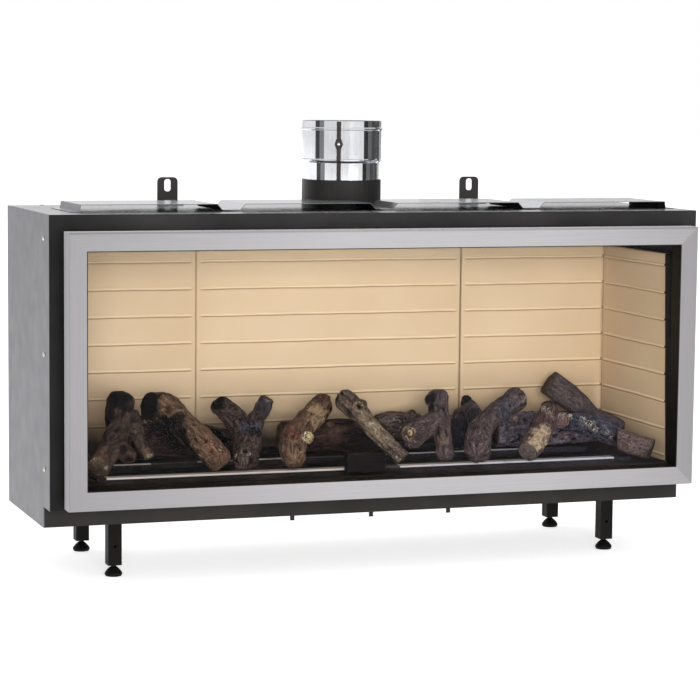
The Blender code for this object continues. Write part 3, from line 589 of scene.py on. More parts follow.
# ---------------------------------------------------------------- brick lining
def brick_look():
    look = Look("vermiculite_board", Roughness=0.9)
    cloud = look.noise(5, 4, 0.5)
    grain = look.noise(420, 4, 0.65)
    stretch = look.noise(30, 4, 0.6, stretch=(0.35, 0.35, 1))
    colour = look.ramp(cloud, [(0.3, lin(208, 182, 148)), (0.7, lin(216, 192, 160))])
    colour = look.mix(look.band(grain, 0.45, 0.75, 0, 0.12), colour, lin(196, 166, 131))
    colour = look.mix(look.band(stretch, 0.5, 0.8, 0, 0.10), colour, lin(204, 176, 142))
    # painted highlight on the beads' crests and painted shade just below them, as if lit from above
    bead = look.attribute("bead")
    colour = look.mix(look.band(bead, 0.12, 0.8, 0, 0.85), colour, lin(238, 216, 182))
    colour = look.mix(look.band(bead, -0.15, -0.9, 0, 0.6), colour, lin(128, 98, 70))
    # painted light: the lining darkens towards its top and its left end, with a painted pool of light near the top
    # centre; lower down it darkens just above the fire bed, most of all at the left end
    x, y, z = look.split()
    painted_light = look.math("ADD", look.band(z, 0.30, 0.54, 1.0, 0.90), look.band(x, -0.25, -0.56, 0.0, -0.10))
    painted_light = look.math("ADD", painted_light, look.math("MULTIPLY", look.band(look.math("ABSOLUTE", x), 0.05, 0.30, 0.06, 0.0), look.band(z, 0.42, 0.54)))
    colour = look.mix(1.0, colour, look.ramp(painted_light, [(0.0, (0, 0, 0, 1)), (1.0, (1.10, 1.10, 1.10, 1))]), "MULTIPLY")
    left = look.math("ADD", look.band(x, 0.1, -0.58, 0.35, 1.0), look.math("MULTIPLY", look.band(x, 0.25, 0.5, 0.0, 0.35), look.band(x, 0.560, 0.572, 1.0, -0.6)))
    level = look.math("ADD", z, look.math("MULTIPLY", look.noise(9, 4, 0.6), 0.05))
    far_left = look.band(x, -0.40, -0.56, 0.0, 0.5)
    # partly soot and partly painted shadow of the logs: brown-dark just above the fire bed, strongest at the left end
    soot_and_shadow = look.math("MULTIPLY", look.band(level, 0.372, 0.265, 0, 0.6), look.math("ADD", left, far_left))
    colour = look.mix(soot_and_shadow, colour, lin(104, 74, 44))
    # darkest band low down, partly soot and partly painted shadow
    soot = look.math("MULTIPLY", look.band(level, 0.285, 0.232, 0, 0.95), look.band(x, 0.34, 0.58, 1.0, 0.22))
    colour = look.mix(soot, colour, lin(34, 22, 15))
    # dark dirt in the joints between the boards, and painted shade along the corners
    joint = look.math("ABSOLUTE", look.math("SUBTRACT", look.math("ABSOLUTE", x), 0.2705))
    corner = look.math("ABSOLUTE", look.math("SUBTRACT", y, 0.1480))
    corner = look.math("ADD", corner, look.band(look.math("ABSOLUTE", x), 0.5745, 0.5740, 0.0, 1.0))
    rear = look.math("MULTIPLY", look.band(look.math("MINIMUM", joint, corner), 0.0026, 0.0012, 0, 0.75), look.band(look.noise(40, 3, 0.6), 0.25, 0.5, 0.7, 1.0))
    rear = look.math("MULTIPLY", rear, look.band(x, -0.2, 0.2, 0.42, 0.95))
    colour = look.mix(rear, colour, lin(98, 74, 54))
    # painted shade: a black strip on the side boards' front edges, narrowing downwards, stands in for the shadowed
    # inner side of the frame in front of them
    edge = look.math("LESS_THAN", look.math("MULTIPLY_ADD", z, -0.0538, y), -0.1583)
    edge = look.math("MULTIPLY", edge, look.math("GREATER_THAN", look.math("ABSOLUTE", x), 0.5685))
    colour = look.mix(edge, colour, look.ramp(look.noise(300, 3), [(0.3, lin(9, 8, 8)), (0.7, lin(18, 16, 15))]))
    look.to(Base_Color=colour, Roughness=look.band(grain, 0.3, 0.7, 0.85, 0.95))
    look.bump(look.noise(500, 4, 0.6), 0.16, 0.0006)
    return look


BRICK = brick_look()
BEAD_LEVELS = [452.0 - 51.8 * k for k in range(8)]


def smooth_step(a, b, x):
    t = np.clip((x - a) / (b - a), 0, 1)
    return t * t * (3 - 2 * t)


def lining_panel(node, sign_axis, u0, u1, z0, z1, face, back):
    """A moulded board: a fine grid for the brick face, closed by its edges and a flat back.
    sign_axis is "Y" for a back panel (its face looks to -Y) or "X-"/"X+" for the side panels."""
    step_u, margin = 6.0, 8.0
    us = np.unique(np.round(np.concatenate([np.linspace(u0, u1, int((u1 - u0) / step_u) + 1), [u0 + 1, u0 + 2.5, u1 - 1, u1 - 2.5], u0 + margin + np.linspace(-2, 4, 5), u1 - margin - np.linspace(-2, 4, 5)]), 3))
    zs = [np.linspace(z0, z1, int((z1 - z0) / 6) + 1), [z0 + 1, z0 + 2.5, z1 - 1, z1 - 2.5]]
    for level in BEAD_LEVELS:
        if z0 + 5 < level < z1 - 5:
            zs.append(level + np.array([-5.5, -4.4, -3.5, -2.8, -2.2, -1.5, -0.7, 0, 0.7, 1.5, 2.2, 2.8, 3.5, 4.4, 5.5]))
    zs = np.unique(np.round(np.concatenate(zs), 3))
    U, Z = np.meshgrid(us, zs)
    # depth of the surface behind the beads' crests
    depth = np.full(U.shape, 2.0)
    bead = np.zeros(U.shape)
    ends = smooth_step(u0 + margin - 2, u0 + margin + 4, U) * (1 - smooth_step(u1 - margin - 4, u1 - margin + 2, U))
    for level in BEAD_LEVELS:
        if z0 + 5 < level < z1 - 5:
            wobble = 0.25 * np.sin(U * 0.021 + level) + 0.15 * np.sin(U * 0.067 + 2 * level)
            d = Z - level - wobble
            ridge = np.exp(-((d - 0.4) / 1.9) ** 4) * 2.0
            groove = np.exp(-((d + 3.3) / 1.1) ** 2) * 1.2
            depth -= (ridge - groove) * ends
            # bead: positive on each crest, negative just below it; it drives the painted highlight and shade
            bead += (np.exp(-((d - 1.1) / 1.7) ** 2) - np.exp(-((d + 2.5) / 1.3) ** 2)) * ends
    # rolled outer edges
    edge = np.minimum(np.minimum(U - u0, u1 - U), np.minimum(Z - z0, z1 - Z))
    depth += 1.4 * (1 - smooth_step(0, 2.5, edge))
    # hand-pressed unevenness
    depth += 0.22 * np.sin(U * 0.031 + Z * 0.017) + 0.18 * np.sin(U * 0.011 - Z * 0.043 + 1.3)
    mesh = bmesh.new()
    rows = []
    s = 1 if back > face else -1
    for j in range(len(zs)):
        row = []
        for i in range(len(us)):
            d = face + s * depth[j, i]
            p = put(us[i], d, zs[j]) if sign_axis == "Y" else put(d, us[i], zs[j])
            row.append(mesh.verts.new(p))
        rows.append(row)
    back_row = []
    for j in (0, len(zs) - 1):
        row = []
        for i in range(len(us)):
            p = put(us[i], back, zs[j]) if sign_axis == "Y" else put(back, us[i], zs[j])
            row.append(mesh.verts.new(p))
        back_row.append(row)
    for j in range(len(zs) - 1):
        for i in range(len(us) - 1):
            mesh.faces.new((rows[j][i], rows[j][i + 1], rows[j + 1][i + 1], rows[j + 1][i]))
    for i in range(len(us) - 1):
        mesh.faces.new((back_row[0][i], back_row[0][i + 1], rows[0][i + 1], rows[0][i]))
        mesh.faces.new((rows[-1][i], rows[-1][i + 1], back_row[1][i + 1], back_row[1][i]))
    mesh.faces.new([*(back_row[0][i] for i in range(len(us))), *(back_row[1][i] for i in reversed(range(len(us))))])
    mesh.faces.new([*(rows[j][0] for j in range(len(zs))), back_row[1][0], back_row[0][0]])
    mesh.faces.new([*(rows[j][-1] for j in reversed(range(len(zs)))), back_row[0][-1], back_row[1][-1]])
    bmesh.ops.recalc_face_normals(mesh, faces=mesh.faces)
    data = bpy.data.meshes.new(node + "_board")
    mesh.to_mesh(data)
    mesh.free()
    tint = data.attributes.new("bead", "FLOAT", "POINT")
    values = np.zeros(len(data.vertices), dtype=np.float32)
    values[: bead.size] = bead.ravel()
    tint.data.foreach_set("value", values)
    data.shade_smooth()
    data.set_sharp_from_angle(angle=math.radians(50))
    obj = bpy.data.objects.new(node + "_board", data)
    SCENE.collection.objects.link(obj)
    wear(obj, BRICK)
    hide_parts(node)
    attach(obj, "firebox")
    return obj


lining_panel("back_brick_left", "Y", -594.7, -270.8, 90.3, 474, 312, 332)
lining_panel("back_brick_centre", "Y", -270.2, 270.2, 90.3, 474, 312, 332)
lining_panel("back_brick_right", "Y", 270.8, 594.7, 90.3, 474, 312, 332)
lining_panel("side_brick_left", "X", 11, 311.4, 78.3, 474, -575, -595)
lining_panel("side_brick_right", "X", 11, 311.4, 78.3, 474, 575, 595)


# ---------------------------------------------------------------- ceramic logs
def lattice(i, j, k, seed):
    """Repeatable values in -1..1 at the corners of an integer lattice."""
    n = (i.astype(np.uint64) * np.uint64(73856093)) ^ (j.astype(np.uint64) * np.uint64(19349663)) ^ (k.astype(np.uint64) * np.uint64(83492791)) ^ np.uint64(97531 * (seed + 11))
    mask = np.uint64(0xFFFFFFFF)
    n &= mask
    n = ((n ^ (n >> np.uint64(15))) * np.uint64(2246822519)) & mask
    n = ((n ^ (n >> np.uint64(13))) * np.uint64(3266489917)) & mask
    n ^= n >> np.uint64(16)
    return n.astype(np.float64) / 4294967295.0 * 2 - 1


def soft(p, seed=0):
    """Smooth lattice noise in -1..1 at points p (n, 3), one cell a unit."""
    cell = np.floor(p)
    f = p - cell
    f = f * f * (3 - 2 * f)
    cell = cell.astype(np.int64) + 4096
    out = np.zeros(len(p))
    for dx in (0, 1):
        wx = f[:, 0] if dx else 1 - f[:, 0]
        for dy in (0, 1):
            wy = f[:, 1] if dy else 1 - f[:, 1]
            for dz in (0, 1):
                wz = f[:, 2] if dz else 1 - f[:, 2]
                out += wx * wy * wz * lattice(cell[:, 0] + dx, cell[:, 1] + dy, cell[:, 2] + dz, seed)
    return out


def layered(p, octaves=3, seed=0, gain=0.5):
    total, weight, amount = np.zeros(len(p)), 1.0, 0.0
    for k in range(octaves):
        total += weight * soft(p * 2.03**k + 17.3 * k, seed + k)
        amount += weight
        weight *= gain
    return total / amount * 1.6


def limb_samples(points, gap=2.5):
    """Catmull-Rom samples (x, y, z, r) through the control points, with frames and arc lengths."""
    ctrl = np.array(points, float)
    ctrl = np.vstack([2 * ctrl[0] - ctrl[1], ctrl, 2 * ctrl[-1] - ctrl[-2]])
    out = []
    for a in range(1, len(ctrl) - 2):
        n = max(2, int(np.linalg.norm(ctrl[a + 1, :3] - ctrl[a, :3]) / gap))
        t = np.linspace(0, 1, n, endpoint=False)[:, None]
        p0, p1, p2, p3 = ctrl[a - 1], ctrl[a], ctrl[a + 1], ctrl[a + 2]
        out.append(0.5 * (2 * p1 + (p2 - p0) * t + (2 * p0 - 5 * p1 + 4 * p2 - p3) * t**2 + (3 * p1 - p0 - 3 * p2 + p3) * t**3))
    out.append(ctrl[-2][None])
    s = np.vstack(out)
    s[:, 3] = np.maximum(s[:, 3], 3)
    tangent = np.gradient(s[:, :3], axis=0)
    tangent /= np.linalg.norm(tangent, axis=1)[:, None]
    u = np.cross(tangent[0], (0.13, 0.2, 1.0))
    us = []
    for t in tangent:
        u = u - (u @ t) * t
        u /= np.linalg.norm(u)
        us.append(u)
    us = np.array(us)
    vs = np.cross(tangent, us)
    arc = np.concatenate([[0], np.cumsum(np.linalg.norm(np.diff(s[:, :3], axis=0), axis=1))])
    return s, tangent, us, vs, arc


def cut_plane(s, side, end):
    """The point and unit normal of a cut face given as (nx, ny, nz) or (nx, ny, nz, shift outward in mm)."""
    normal = np.array(end[:3], float)
    normal /= np.linalg.norm(normal)
    return s[0 if side == 0 else -1, :3] + normal * (end[3] if len(end) > 3 else 0.0), normal


def limb_shell(shell, s, tangent, us, vs, arc, ends, around=28):
    """Adds one closed limb to the bmesh. An end is "round", or the outward normal of a cut face."""
    total = arc[-1]
    centres, radii = s[:, :3].copy(), s[:, 3].copy()
    for side, end in enumerate(ends):
        d = arc if side == 0 else total - arc
        r = radii[0] if side == 0 else radii[-1]
        if isinstance(end, str):
            b = 0.8 * r
            near = d < b
            radii[near] *= np.maximum(0.06, (1 - ((b - d[near]) / b) ** 2.4)) ** (1 / 2.4)
    rings = list(zip(centres, radii, us, vs))
    if not isinstance(ends[0], str):
        for k in (1, 2, 3):
            rings.insert(0, (centres[0] - tangent[0] * k * 0.5 * s[0, 3], s[0, 3], us[0], vs[0]))
    if not isinstance(ends[1], str):
        for k in (1, 2, 3):
            rings.append((centres[-1] + tangent[-1] * k * 0.5 * s[-1, 3], s[-1, 3], us[-1], vs[-1]))
    part = bmesh.new()
    rows = []
    for c, r, u, v in rings:
        rows.append([part.verts.new(c + r * (math.cos(a) * u + math.sin(a) * v)) for a in np.linspace(0, 2 * math.pi, around, endpoint=False)])
    for a, b in zip(rows[:-1], rows[1:]):
        for k in range(around):
            part.faces.new((a[k], a[(k + 1) % around], b[(k + 1) % around], b[k]))
    part.faces.new(list(reversed(rows[0])))
    part.faces.new(rows[-1])
    for side, end in enumerate(ends):
        if not isinstance(end, str):
            at, normal = cut_plane(s, side, end)
            bmesh.ops.bisect_plane(part, geom=part.verts[:] + part.edges[:] + part.faces[:], plane_co=Vector(at), plane_no=Vector(normal), clear_outer=True)
            rim = [e for e in part.edges if len(e.link_faces) == 1]
            if rim:
                bmesh.ops.edgeloop_fill(part, edges=rim)
    bmesh.ops.recalc_face_normals(part, faces=part.faces)
    scratch = bpy.data.meshes.new("limb")
    part.to_mesh(scratch)
    part.free()
    shell.from_mesh(scratch)
    bpy.data.meshes.remove(scratch)


def make_log(name, limbs, look, seed, marks=(), knots=(), bark="rough", lumps=1.0, voxel=1.8):
    """A cast ceramic log. limbs: (control points, start, end), each end "round" or a cut face's outward normal.
    marks paint a tone: (kind, x, y, z, radius, strength). knots dent the bark: (x, y, z, radius, depth, rim)."""
    shell = bmesh.new()
    samples = []
    for points, *ends in limbs:
        parts = limb_samples(points)
        samples.append(parts)
        limb_shell(shell, *parts, ends)
    data = bpy.data.meshes.new(name + "_ceramic")
    shell.to_mesh(data)
    shell.free()
    rough = bpy.data.objects.new(name + "_rough", data)
    SCENE.collection.objects.link(rough)
    remesh = rough.modifiers.new("skin", "REMESH")
    remesh.mode = "VOXEL"
    remesh.voxel_size = voxel
    bpy.context.view_layer.update()
    mesh = bpy.data.meshes.new_from_object(rough.evaluated_get(bpy.context.evaluated_depsgraph_get()))
    bpy.data.objects.remove(rough)
    n = len(mesh.vertices)
    co = np.empty(n * 3)
    mesh.vertices.foreach_get("co", co)
    co = co.reshape(-1, 3)
    edges = np.empty(len(mesh.edges) * 2, dtype=np.int64)
    mesh.edges.foreach_get("vertices", edges)
    edges = edges.reshape(-1, 2)
    valence = np.bincount(edges.ravel(), minlength=n)[:, None].astype(float)

    def relax(p, amount):
        near = np.zeros_like(p)
        np.add.at(near, edges[:, 0], p[edges[:, 1]])
        np.add.at(near, edges[:, 1], p[edges[:, 0]])
        return p + amount * (near / valence - p)

    for _ in range(3):
        co = relax(relax(co, 0.5), -0.52)

    # where each vertex lies on its limb
    s = np.vstack([p[0] for p in samples])
    us, vs = np.vstack([p[2] for p in samples]), np.vstack([p[3] for p in samples])
    ts = np.vstack([p[1] for p in samples])
    arc = np.concatenate([p[4] + 137.0 * k for k, p in enumerate(samples)])
    limb_of = np.concatenate([np.full(len(p[0]), k) for k, p in enumerate(samples)])
    gap = np.linalg.norm(co[:, None, :] - s[None, :, :3], axis=2) / s[None, :, 3]
    best = gap.argmin(1)
    off = co - s[best, :3]
    ca, sa = (off * us[best]).sum(1), (off * vs[best]).sum(1)
    radial = np.hypot(ca, sa) + 1e-6
    ca, sa = ca / radial, sa / radial
    along = arc[best] + (off * ts[best]).sum(1)
    girth = s[best, 3]
    warp = 0.9 * layered(co / 24.0, 2, seed + 5)
    grain = np.stack([ca * girth + 2.2 * warp, sa * girth + 2.2 * warp, along + 6 * warp], 1)

    # cut faces
    cut, ring = np.zeros(n), np.zeros(n)
    for k, (limb, parts) in enumerate(zip(limbs, samples)):
        for side, end in enumerate(limb[1:]):
            if isinstance(end, str):
                continue
            at, normal = cut_plane(parts[0], side, end)
            t, r = parts[1][0 if side == 0 else -1], parts[0][0 if side == 0 else -1, 3]
            d = co - at
            flat = np.abs(d @ normal) < 1.3
            axial = np.linalg.norm(d - (d @ t)[:, None] * t, axis=1)
            face = flat & (axial < r * 1.12) & (limb_of[best] == k)
            cut[face] = 1
            ring[face] = axial[face]
    for _ in range(1):
        cut = np.clip(relax(cut[:, None], 0.5)[:, 0], 0, 1)

    def on_skin(x, y, z):
        """The nearest point of the skin, so that a small mark doesn't float off it."""
        return co[np.linalg.norm(co - (x, y, z), axis=1).argmin()]

    knots = [(*on_skin(*k[:3]), *k[3:]) for k in knots]
    marks = [(m[0], *(on_skin(*m[1:4]) if m[4] < 16 else m[1:4]), *m[4:]) for m in marks]
    for kind, x, y, z, radius, strength in marks:
        if kind == "ring":
            d = np.linalg.norm(co - (x, y, z), axis=1) * (1 + 0.42 * layered(co / 10.0, 2, seed + 71))
            face = d < radius
            cut[face] = strength
            ring[face] = d[face] * 0.36

    # relief
    if bark == "rough":
        fibres = 1 - 2.2 * np.abs(layered(grain / (4.2, 4.2, 17.0), 3, seed))
        blocks = 1 - 2.4 * np.abs(layered(grain / (9.0, 9.0, 13.0), 2, seed + 3))
        relief = 0.62 * fibres + 0.38 * blocks
        depth = 1.9
    elif bark == "fibre":
        fibres = 1 - 2.2 * np.abs(layered(grain / (4.0, 4.0, 60.0), 3, seed))
        split = -1.6 * np.exp(-((layered(grain / (9.0, 9.0, 95.0), 1, seed + 4) / 0.10) ** 2))
        relief = 0.75 * fibres + 0.5 * split
        depth = 1.9
    elif bark == "net":
        relief = 0.62 * (1 - 2.6 * np.abs(layered(grain / (5.0, 5.0, 7.0), 3, seed))) + 0.22
        depth = 0.9
    elif bark == "char":
        blocks = 1 - 2.8 * np.abs(layered(grain / (9.0, 9.0, 13.0), 2, seed))
        relief = 0.8 * blocks + 0.4 * layered(grain / (4, 4, 9), 2, seed + 9)
        depth = 2.7
    else:
        relief = 0.8 * (1 - 2.2 * np.abs(layered(grain / (3.2, 3.2, 24.0), 3, seed)))
        depth = 1.0
    relief += 0.25 * layered(co / 2.6, 2, seed + 21)
    relief = np.clip(relief, -1.4, 1.2)
    bulge = lumps * (2.6 * layered(co / 34.0, 2, seed + 31) + 1.0 * layered(grain / (14.0, 14.0, 26.0), 2, seed + 41))
    rings = 0.45 * np.sin(ring * 2.1 + 2.2 * layered(co / 9.0, 2, seed + 6)) + 0.5 * layered(co / 3.0, 2, seed + 7)
    rings -= 1.2 * np.exp(-((layered(co / 11.0, 1, seed + 8) / 0.08) ** 2))
    shift = (1 - cut) * (depth * relief + bulge) + cut * rings

    # tones
    tones = {key: np.zeros(n) for key in ("char", "tan", "rust", "pale", "blue")}
    edge_noise = 0.35 * layered(co / 9.0, 3, seed + 51)
    for kind, x, y, z, radius, strength in marks:
        if kind == "ring":
            continue
        d = np.linalg.norm(co - (x, y, z), axis=1) / radius + edge_noise
        tones[kind] = np.maximum(tones[kind], strength * (1 - smooth_step(0.55, 1.1, d)))
    for x, y, z, radius, sink, rim in knots:
        d = np.linalg.norm(co - (x, y, z), axis=1) + 0.8 * layered(co / 6.0, 2, seed + 61)
        bowl = 1 - smooth_step(radius * 0.35, radius * 0.8, d)
        lip = np.exp(-(((d - radius * 0.95) / (radius * 0.22)) ** 2))
        shift += -sink * bowl + 1.3 * lip
        tones["char"] = np.maximum(tones["char"], 0.95 * bowl)
        tones["tan"] = np.maximum(tones["tan"], rim * lip)
        tones["pale"] = np.maximum(tones["pale"], 0.5 * rim * lip)

    mesh.vertices.foreach_set("co", co.ravel())
    mesh.update()
    normals = np.empty(n * 3)
    mesh.vertices.foreach_get("normal", normals)
    normals = relax(normals.reshape(-1, 3), 0.6)
    normals /= np.linalg.norm(normals, axis=1)[:, None]
    co = co + normals * shift[:, None]
    world = np.stack([co[:, 0], co[:, 1] - 163.7, co[:, 2] + 100.0], 1) / 1000
    mesh.vertices.foreach_set("co", world.ravel())

    def layer(title, values, kind="FLOAT_VECTOR"):
        slot = mesh.attributes.new(title, kind, "POINT")
        if kind == "FLOAT":
            slot.data.foreach_set("value", np.ascontiguousarray(values, dtype=np.float32))
        else:
            slot.data.foreach_set("vector", np.ascontiguousarray(values, dtype=np.float32).ravel())

    layer("grain", grain / 10.0)
    layer("tone", np.stack([tones["char"], tones["tan"], tones["rust"]], 1))
    layer("mark", np.stack([tones["pale"], cut, ring / 10.0], 1))
    layer("tint", np.stack([tones["blue"], relief, shift / 4.0], 1))
    mesh.update()
    mesh.shade_smooth()
    mesh.name = name + "_ceramic"
    obj = bpy.data.objects.new(name + "_ceramic", mesh)
    SCENE.collection.objects.link(obj)
    wear(obj, look)
    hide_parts(name)
    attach(obj, "firebox")
    return obj


def log_look(name, dark, brown, light, tan=(158, 130, 98), rust=(124, 84, 66), ring=((48, 40, 34), (112, 92, 72))):
    """Painted ceramic: fibres that follow the grain, painted shade in the cracks and a painted highlight on the
    crests, patches of bare and burnt wood.
    """
    look = Look(name)
    grain = look.attribute("grain", "Vector")
    char, bare, red = look.split(look.attribute("tone", "Vector"))
    pale, cut, radius = look.split(look.attribute("mark", "Vector"))
    blue, relief, height = look.split(look.attribute("tint", "Vector"))
    fibre = look.noise(2.6, 5, 0.65, vector=grain, stretch=(1, 1, 0.16))
    coarse = look.noise(1.1, 3, 0.6, vector=grain, stretch=(1, 1, 0.4))
    fine = look.noise(900, 3, 0.6)
    blotch = look.noise(55, 3, 0.6)
    base = look.ramp(fibre, [(0.30, lin(*dark)), (0.5, lin(*brown)), (0.72, lin(*light))])
    base = look.mix(look.band(coarse, 0.45, 0.75, 0, 0.38), base, lin(*dark))
    red_on = look.math("MULTIPLY", red, look.band(blotch, 0.25, 0.6))
    base = look.mix(red_on, base, look.ramp(fibre, [(0.3, lin(*(c * 0.55 for c in rust))), (0.7, lin(*rust))]))
    tan_on = look.math("MULTIPLY", bare, look.band(look.noise(120, 3, 0.6), 0.30, 0.52))
    base = look.mix(tan_on, base, look.ramp(fibre, [(0.28, lin(*(c * 0.62 for c in tan))), (0.7, lin(*tan))]))
    base = look.mix(look.math("MULTIPLY", blue, look.band(coarse, 0.2, 0.45)), base, look.ramp(look.noise(150, 4, 0.7), [(0.35, lin(40, 40, 48)), (0.6, lin(66, 68, 80)), (0.75, lin(128, 132, 140))]))
    flecks = look.ramp(look.noise(400, 3, 0.75), [(0.36, (0.24, 0.23, 0.23, 1)), (0.50, (0.84, 0.83, 0.83, 1)), (0.63, (2.3, 2.2, 2.1, 1))])
    base = look.mix(look.math("MULTIPLY_ADD", bare, -0.55, 1.0), base, flecks, "MULTIPLY")
    # painted highlight: the relief's crests are lighter
    base = look.mix(look.band(relief, 0.35, 0.95, 0, 0.24), base, lin(*(min(255, c + 30) for c in light)))
    # painted shade: the cracks are darker
    shaded_crevice = look.math("MULTIPLY", look.band(relief, 0.0, -0.95, 0, 0.85), look.math("MULTIPLY_ADD", bare, -0.6, 1.0))
    base = look.mix(shaded_crevice, base, lin(*(c * 0.28 for c in dark)))
    face = look.math("SINE", look.math("MULTIPLY_ADD", radius, 21.0, look.math("MULTIPLY", look.noise(90, 3), 9.0)))
    end = look.ramp(look.math("MULTIPLY_ADD", face, 0.34, look.math("MULTIPLY_ADD", look.noise(190, 4, 0.65), 1.2, -0.12)), [(0.22, lin(*(c * 0.6 for c in ring[0]))), (0.45, lin(*ring[0])), (0.8, lin(*ring[1]))])
    base = look.mix(cut, base, end)
    # the char marks blacken charred bark, and where they lie on the undersides and shaded flanks of the logs they are
    # painted shade
    soot = look.math("MULTIPLY", char, look.band(look.noise(70, 4, 0.65), 0.18, 0.45))
    base = look.mix(soot, base, look.ramp(look.noise(240, 4, 0.7), [(0.38, lin(4, 4, 4)), (0.6, lin(17, 14, 15)), (0.76, lin(46, 42, 45))]))
    speck = look.math("MULTIPLY", pale, look.band(look.noise(380, 3, 0.65), 0.53, 0.60))
    base = look.mix(speck, base, look.ramp(fine, [(0.3, lin(176, 168, 142)), (0.7, lin(232, 228, 208))]))
    # painted reflection: a faint grey-blue veil lies over the logs, stronger towards the right end of the fire
    base = look.mix(look.band(look.split()[0], -0.02, 0.26, 0.0, 0.045), base, lin(150, 150, 170))
    look.to(Base_Color=base, Roughness=look.band(fibre, 0.3, 0.7, 0.72, 0.95), Specular_IOR_Level=0.07)
    skin = look.math("ADD", look.math("MULTIPLY", fibre, 0.7), look.math("MULTIPLY", look.noise(650, 4, 0.65), 0.5))
    look.bump(skin, 0.75, 0.0016)
    return look


ASH_BROWN = log_look("log_ash_brown", (20, 15, 13), (50, 39, 34), (84, 69, 58))
ASH_DARK = log_look("log_ash_dark", (20, 15, 15), (54, 43, 40), (90, 75, 68), tan=(122, 101, 80))
RED_BARK = log_look("log_red_bark", (32, 24, 19), (80, 62, 50), (124, 100, 78), tan=(124, 100, 76), rust=(112, 78, 64), ring=((15, 12, 11), (38, 31, 27)))
SPLIT = log_look("log_charred_split", (18, 13, 14), (42, 31, 30), (78, 60, 52), rust=(92, 68, 54))
TAN_BARK = log_look("log_tan_bark", (32, 23, 21), (82, 62, 52), (128, 102, 82), tan=(162, 136, 104), rust=(112, 74, 64), ring=((70, 50, 30), (226, 200, 148)))
WEATHERED = log_look("log_weathered", (36, 30, 30), (82, 70, 64), (122, 106, 92), tan=(164, 144, 116))
COAL = log_look("log_coal", (36, 29, 28), (74, 63, 58), (112, 98, 90))
GREY = log_look("log_grey_bark", (34, 26, 28), (76, 62, 62), (116, 99, 92), tan=(140, 116, 92), ring=((96, 74, 58), (186, 158, 120)))
KNOTTY = log_look("log_knotty", (28, 22, 24), (70, 57, 56), (114, 97, 92), tan=(170, 144, 112), rust=(98, 70, 64))
LIME = log_look("log_limewood", (32, 21, 25), (80, 60, 58), (124, 100, 84), tan=(206, 181, 148), ring=((38, 32, 30), (140, 122, 110)))
BLUE = log_look("log_blue_char", (20, 18, 24), (50, 44, 54), (94, 88, 102), ring=((80, 58, 58), (148, 118, 110)))
BLUE_DARK = log_look("log_blue_char_dark", (58, 52, 60), (100, 92, 103), (138, 128, 140))
UMBER = log_look("log_umber", (38, 30, 30), (72, 60, 58), (104, 90, 84))
NET = log_look("log_net_bark", (64, 51, 48), (92, 76, 71), (120, 102, 95))

make_log(
    "log_01",
    (
        (((-454, 164, 221, 26), (-465, 130, 182, 24), (-477, 100, 159, 20), (-499, 65, 135, 21), (-520, 45, 115, 21), (-531, 34, 105, 21)), "round", (-0.45, -0.55, -0.7)),
        (((-450, 135, 193, 22), (-442, 115, 165, 16), (-435, 90, 138, 10), (-426, 70, 115, 8)), "round", (0.2, -0.4, -0.9)),
        (((-490, 78, 144, 13), (-475, 64, 131, 14), (-464, 47, 114, 13)), "round", "round"),
    ),
    ASH_BROWN,
    1,
    marks=(
        ("char", -469, 128, 215, 33, 1), ("char", -490, 117, 182, 20, 1), ("char", -503, 94, 160, 15, 0.8), ("pale", -539, 26, 123, 6, 0.9),
        ("pale", -524, 15, 100, 6, 0.9), ("pale", -427, 63, 118, 7, 0.7), ("tan", -426, 69, 126, 14, 0.25), ("rust", -525, 33, 132, 18, 0.5),
        ("rust", -474, 40, 122, 18, 0.25), ("tan", -537, 20, 120, 16, 0.18), ("char", -471, 36, 115, 12, 0.8), ("char", -479, 50, 135, 10, 0.9),
        ("char", -455, 115, 202, 14, 0.8), ("char", -445, 105, 181, 9, 0.6),
    ),
    bark="rough",
)
make_log(
    "log_02",
    (
        (((-403, 165, 198, 26), (-376, 145, 195, 27), (-350, 115, 169, 25), (-328, 80, 143, 25), (-310, 55, 120, 24), (-299, 36, 103, 23)), (-0.967, -0.14, 0.21), "round"),
    ),
    RED_BARK,
    2,
    # most char marks here paint the shaded underside and left flank of the log: painted shade
    marks=(
        ("char", -418, 144, 204, 34, 1), ("char", -406, 137, 186, 26, 1), ("char", -368, 98, 172, 24, 0.9), ("char", -379, 114, 197, 9, 0.6),
        ("char", -357, 111, 199, 6, 0.6), ("tan", -378, 125, 213, 14, 0.38), ("rust", -373, 119, 208, 12, 0.5), ("tan", -348, 102, 191, 14, 0.25),
        ("rust", -317, 39, 137, 26, 0.6), ("rust", -303, 20, 120, 18, 0.6), ("pale", -303, 34, 132, 5, 0.8), ("tan", -327, 62, 160, 16, 0.2),
        ("pale", -395, 136, 177, 5, 0.7), ("char", -385, 119, 173, 18, 1), ("char", -374, 104, 171, 20, 1), ("char", -363, 89, 154, 17, 1),
        ("char", -353, 76, 139, 16, 1), ("char", -342, 62, 124, 14, 1), ("char", -329, 49, 106, 12, 0.8),
    ),
    bark="rough",
    lumps=1.2,
)
make_log(
    "log_03",
    (
        (((-432, 217, 141, 36), (-376, 217, 134, 34), (-318, 216, 124, 32), (-266, 215, 119, 28), (-223, 215, 115, 25)), (-1, 0, 0.1), (1, 0, 0.1)),
    ),
    SPLIT,
    3,
    marks=(
        ("char", -332, 187, 142, 46, 1), ("char", -278, 187, 125, 40, 1), ("char", -378, 188, 153, 26, 0.8), ("pale", -414, 189, 161, 5, 0.8),
        ("pale", -401, 194, 164, 5, 0.8), ("pale", -387, 199, 165, 5, 0.6),
    ),
    bark="fibre",
)
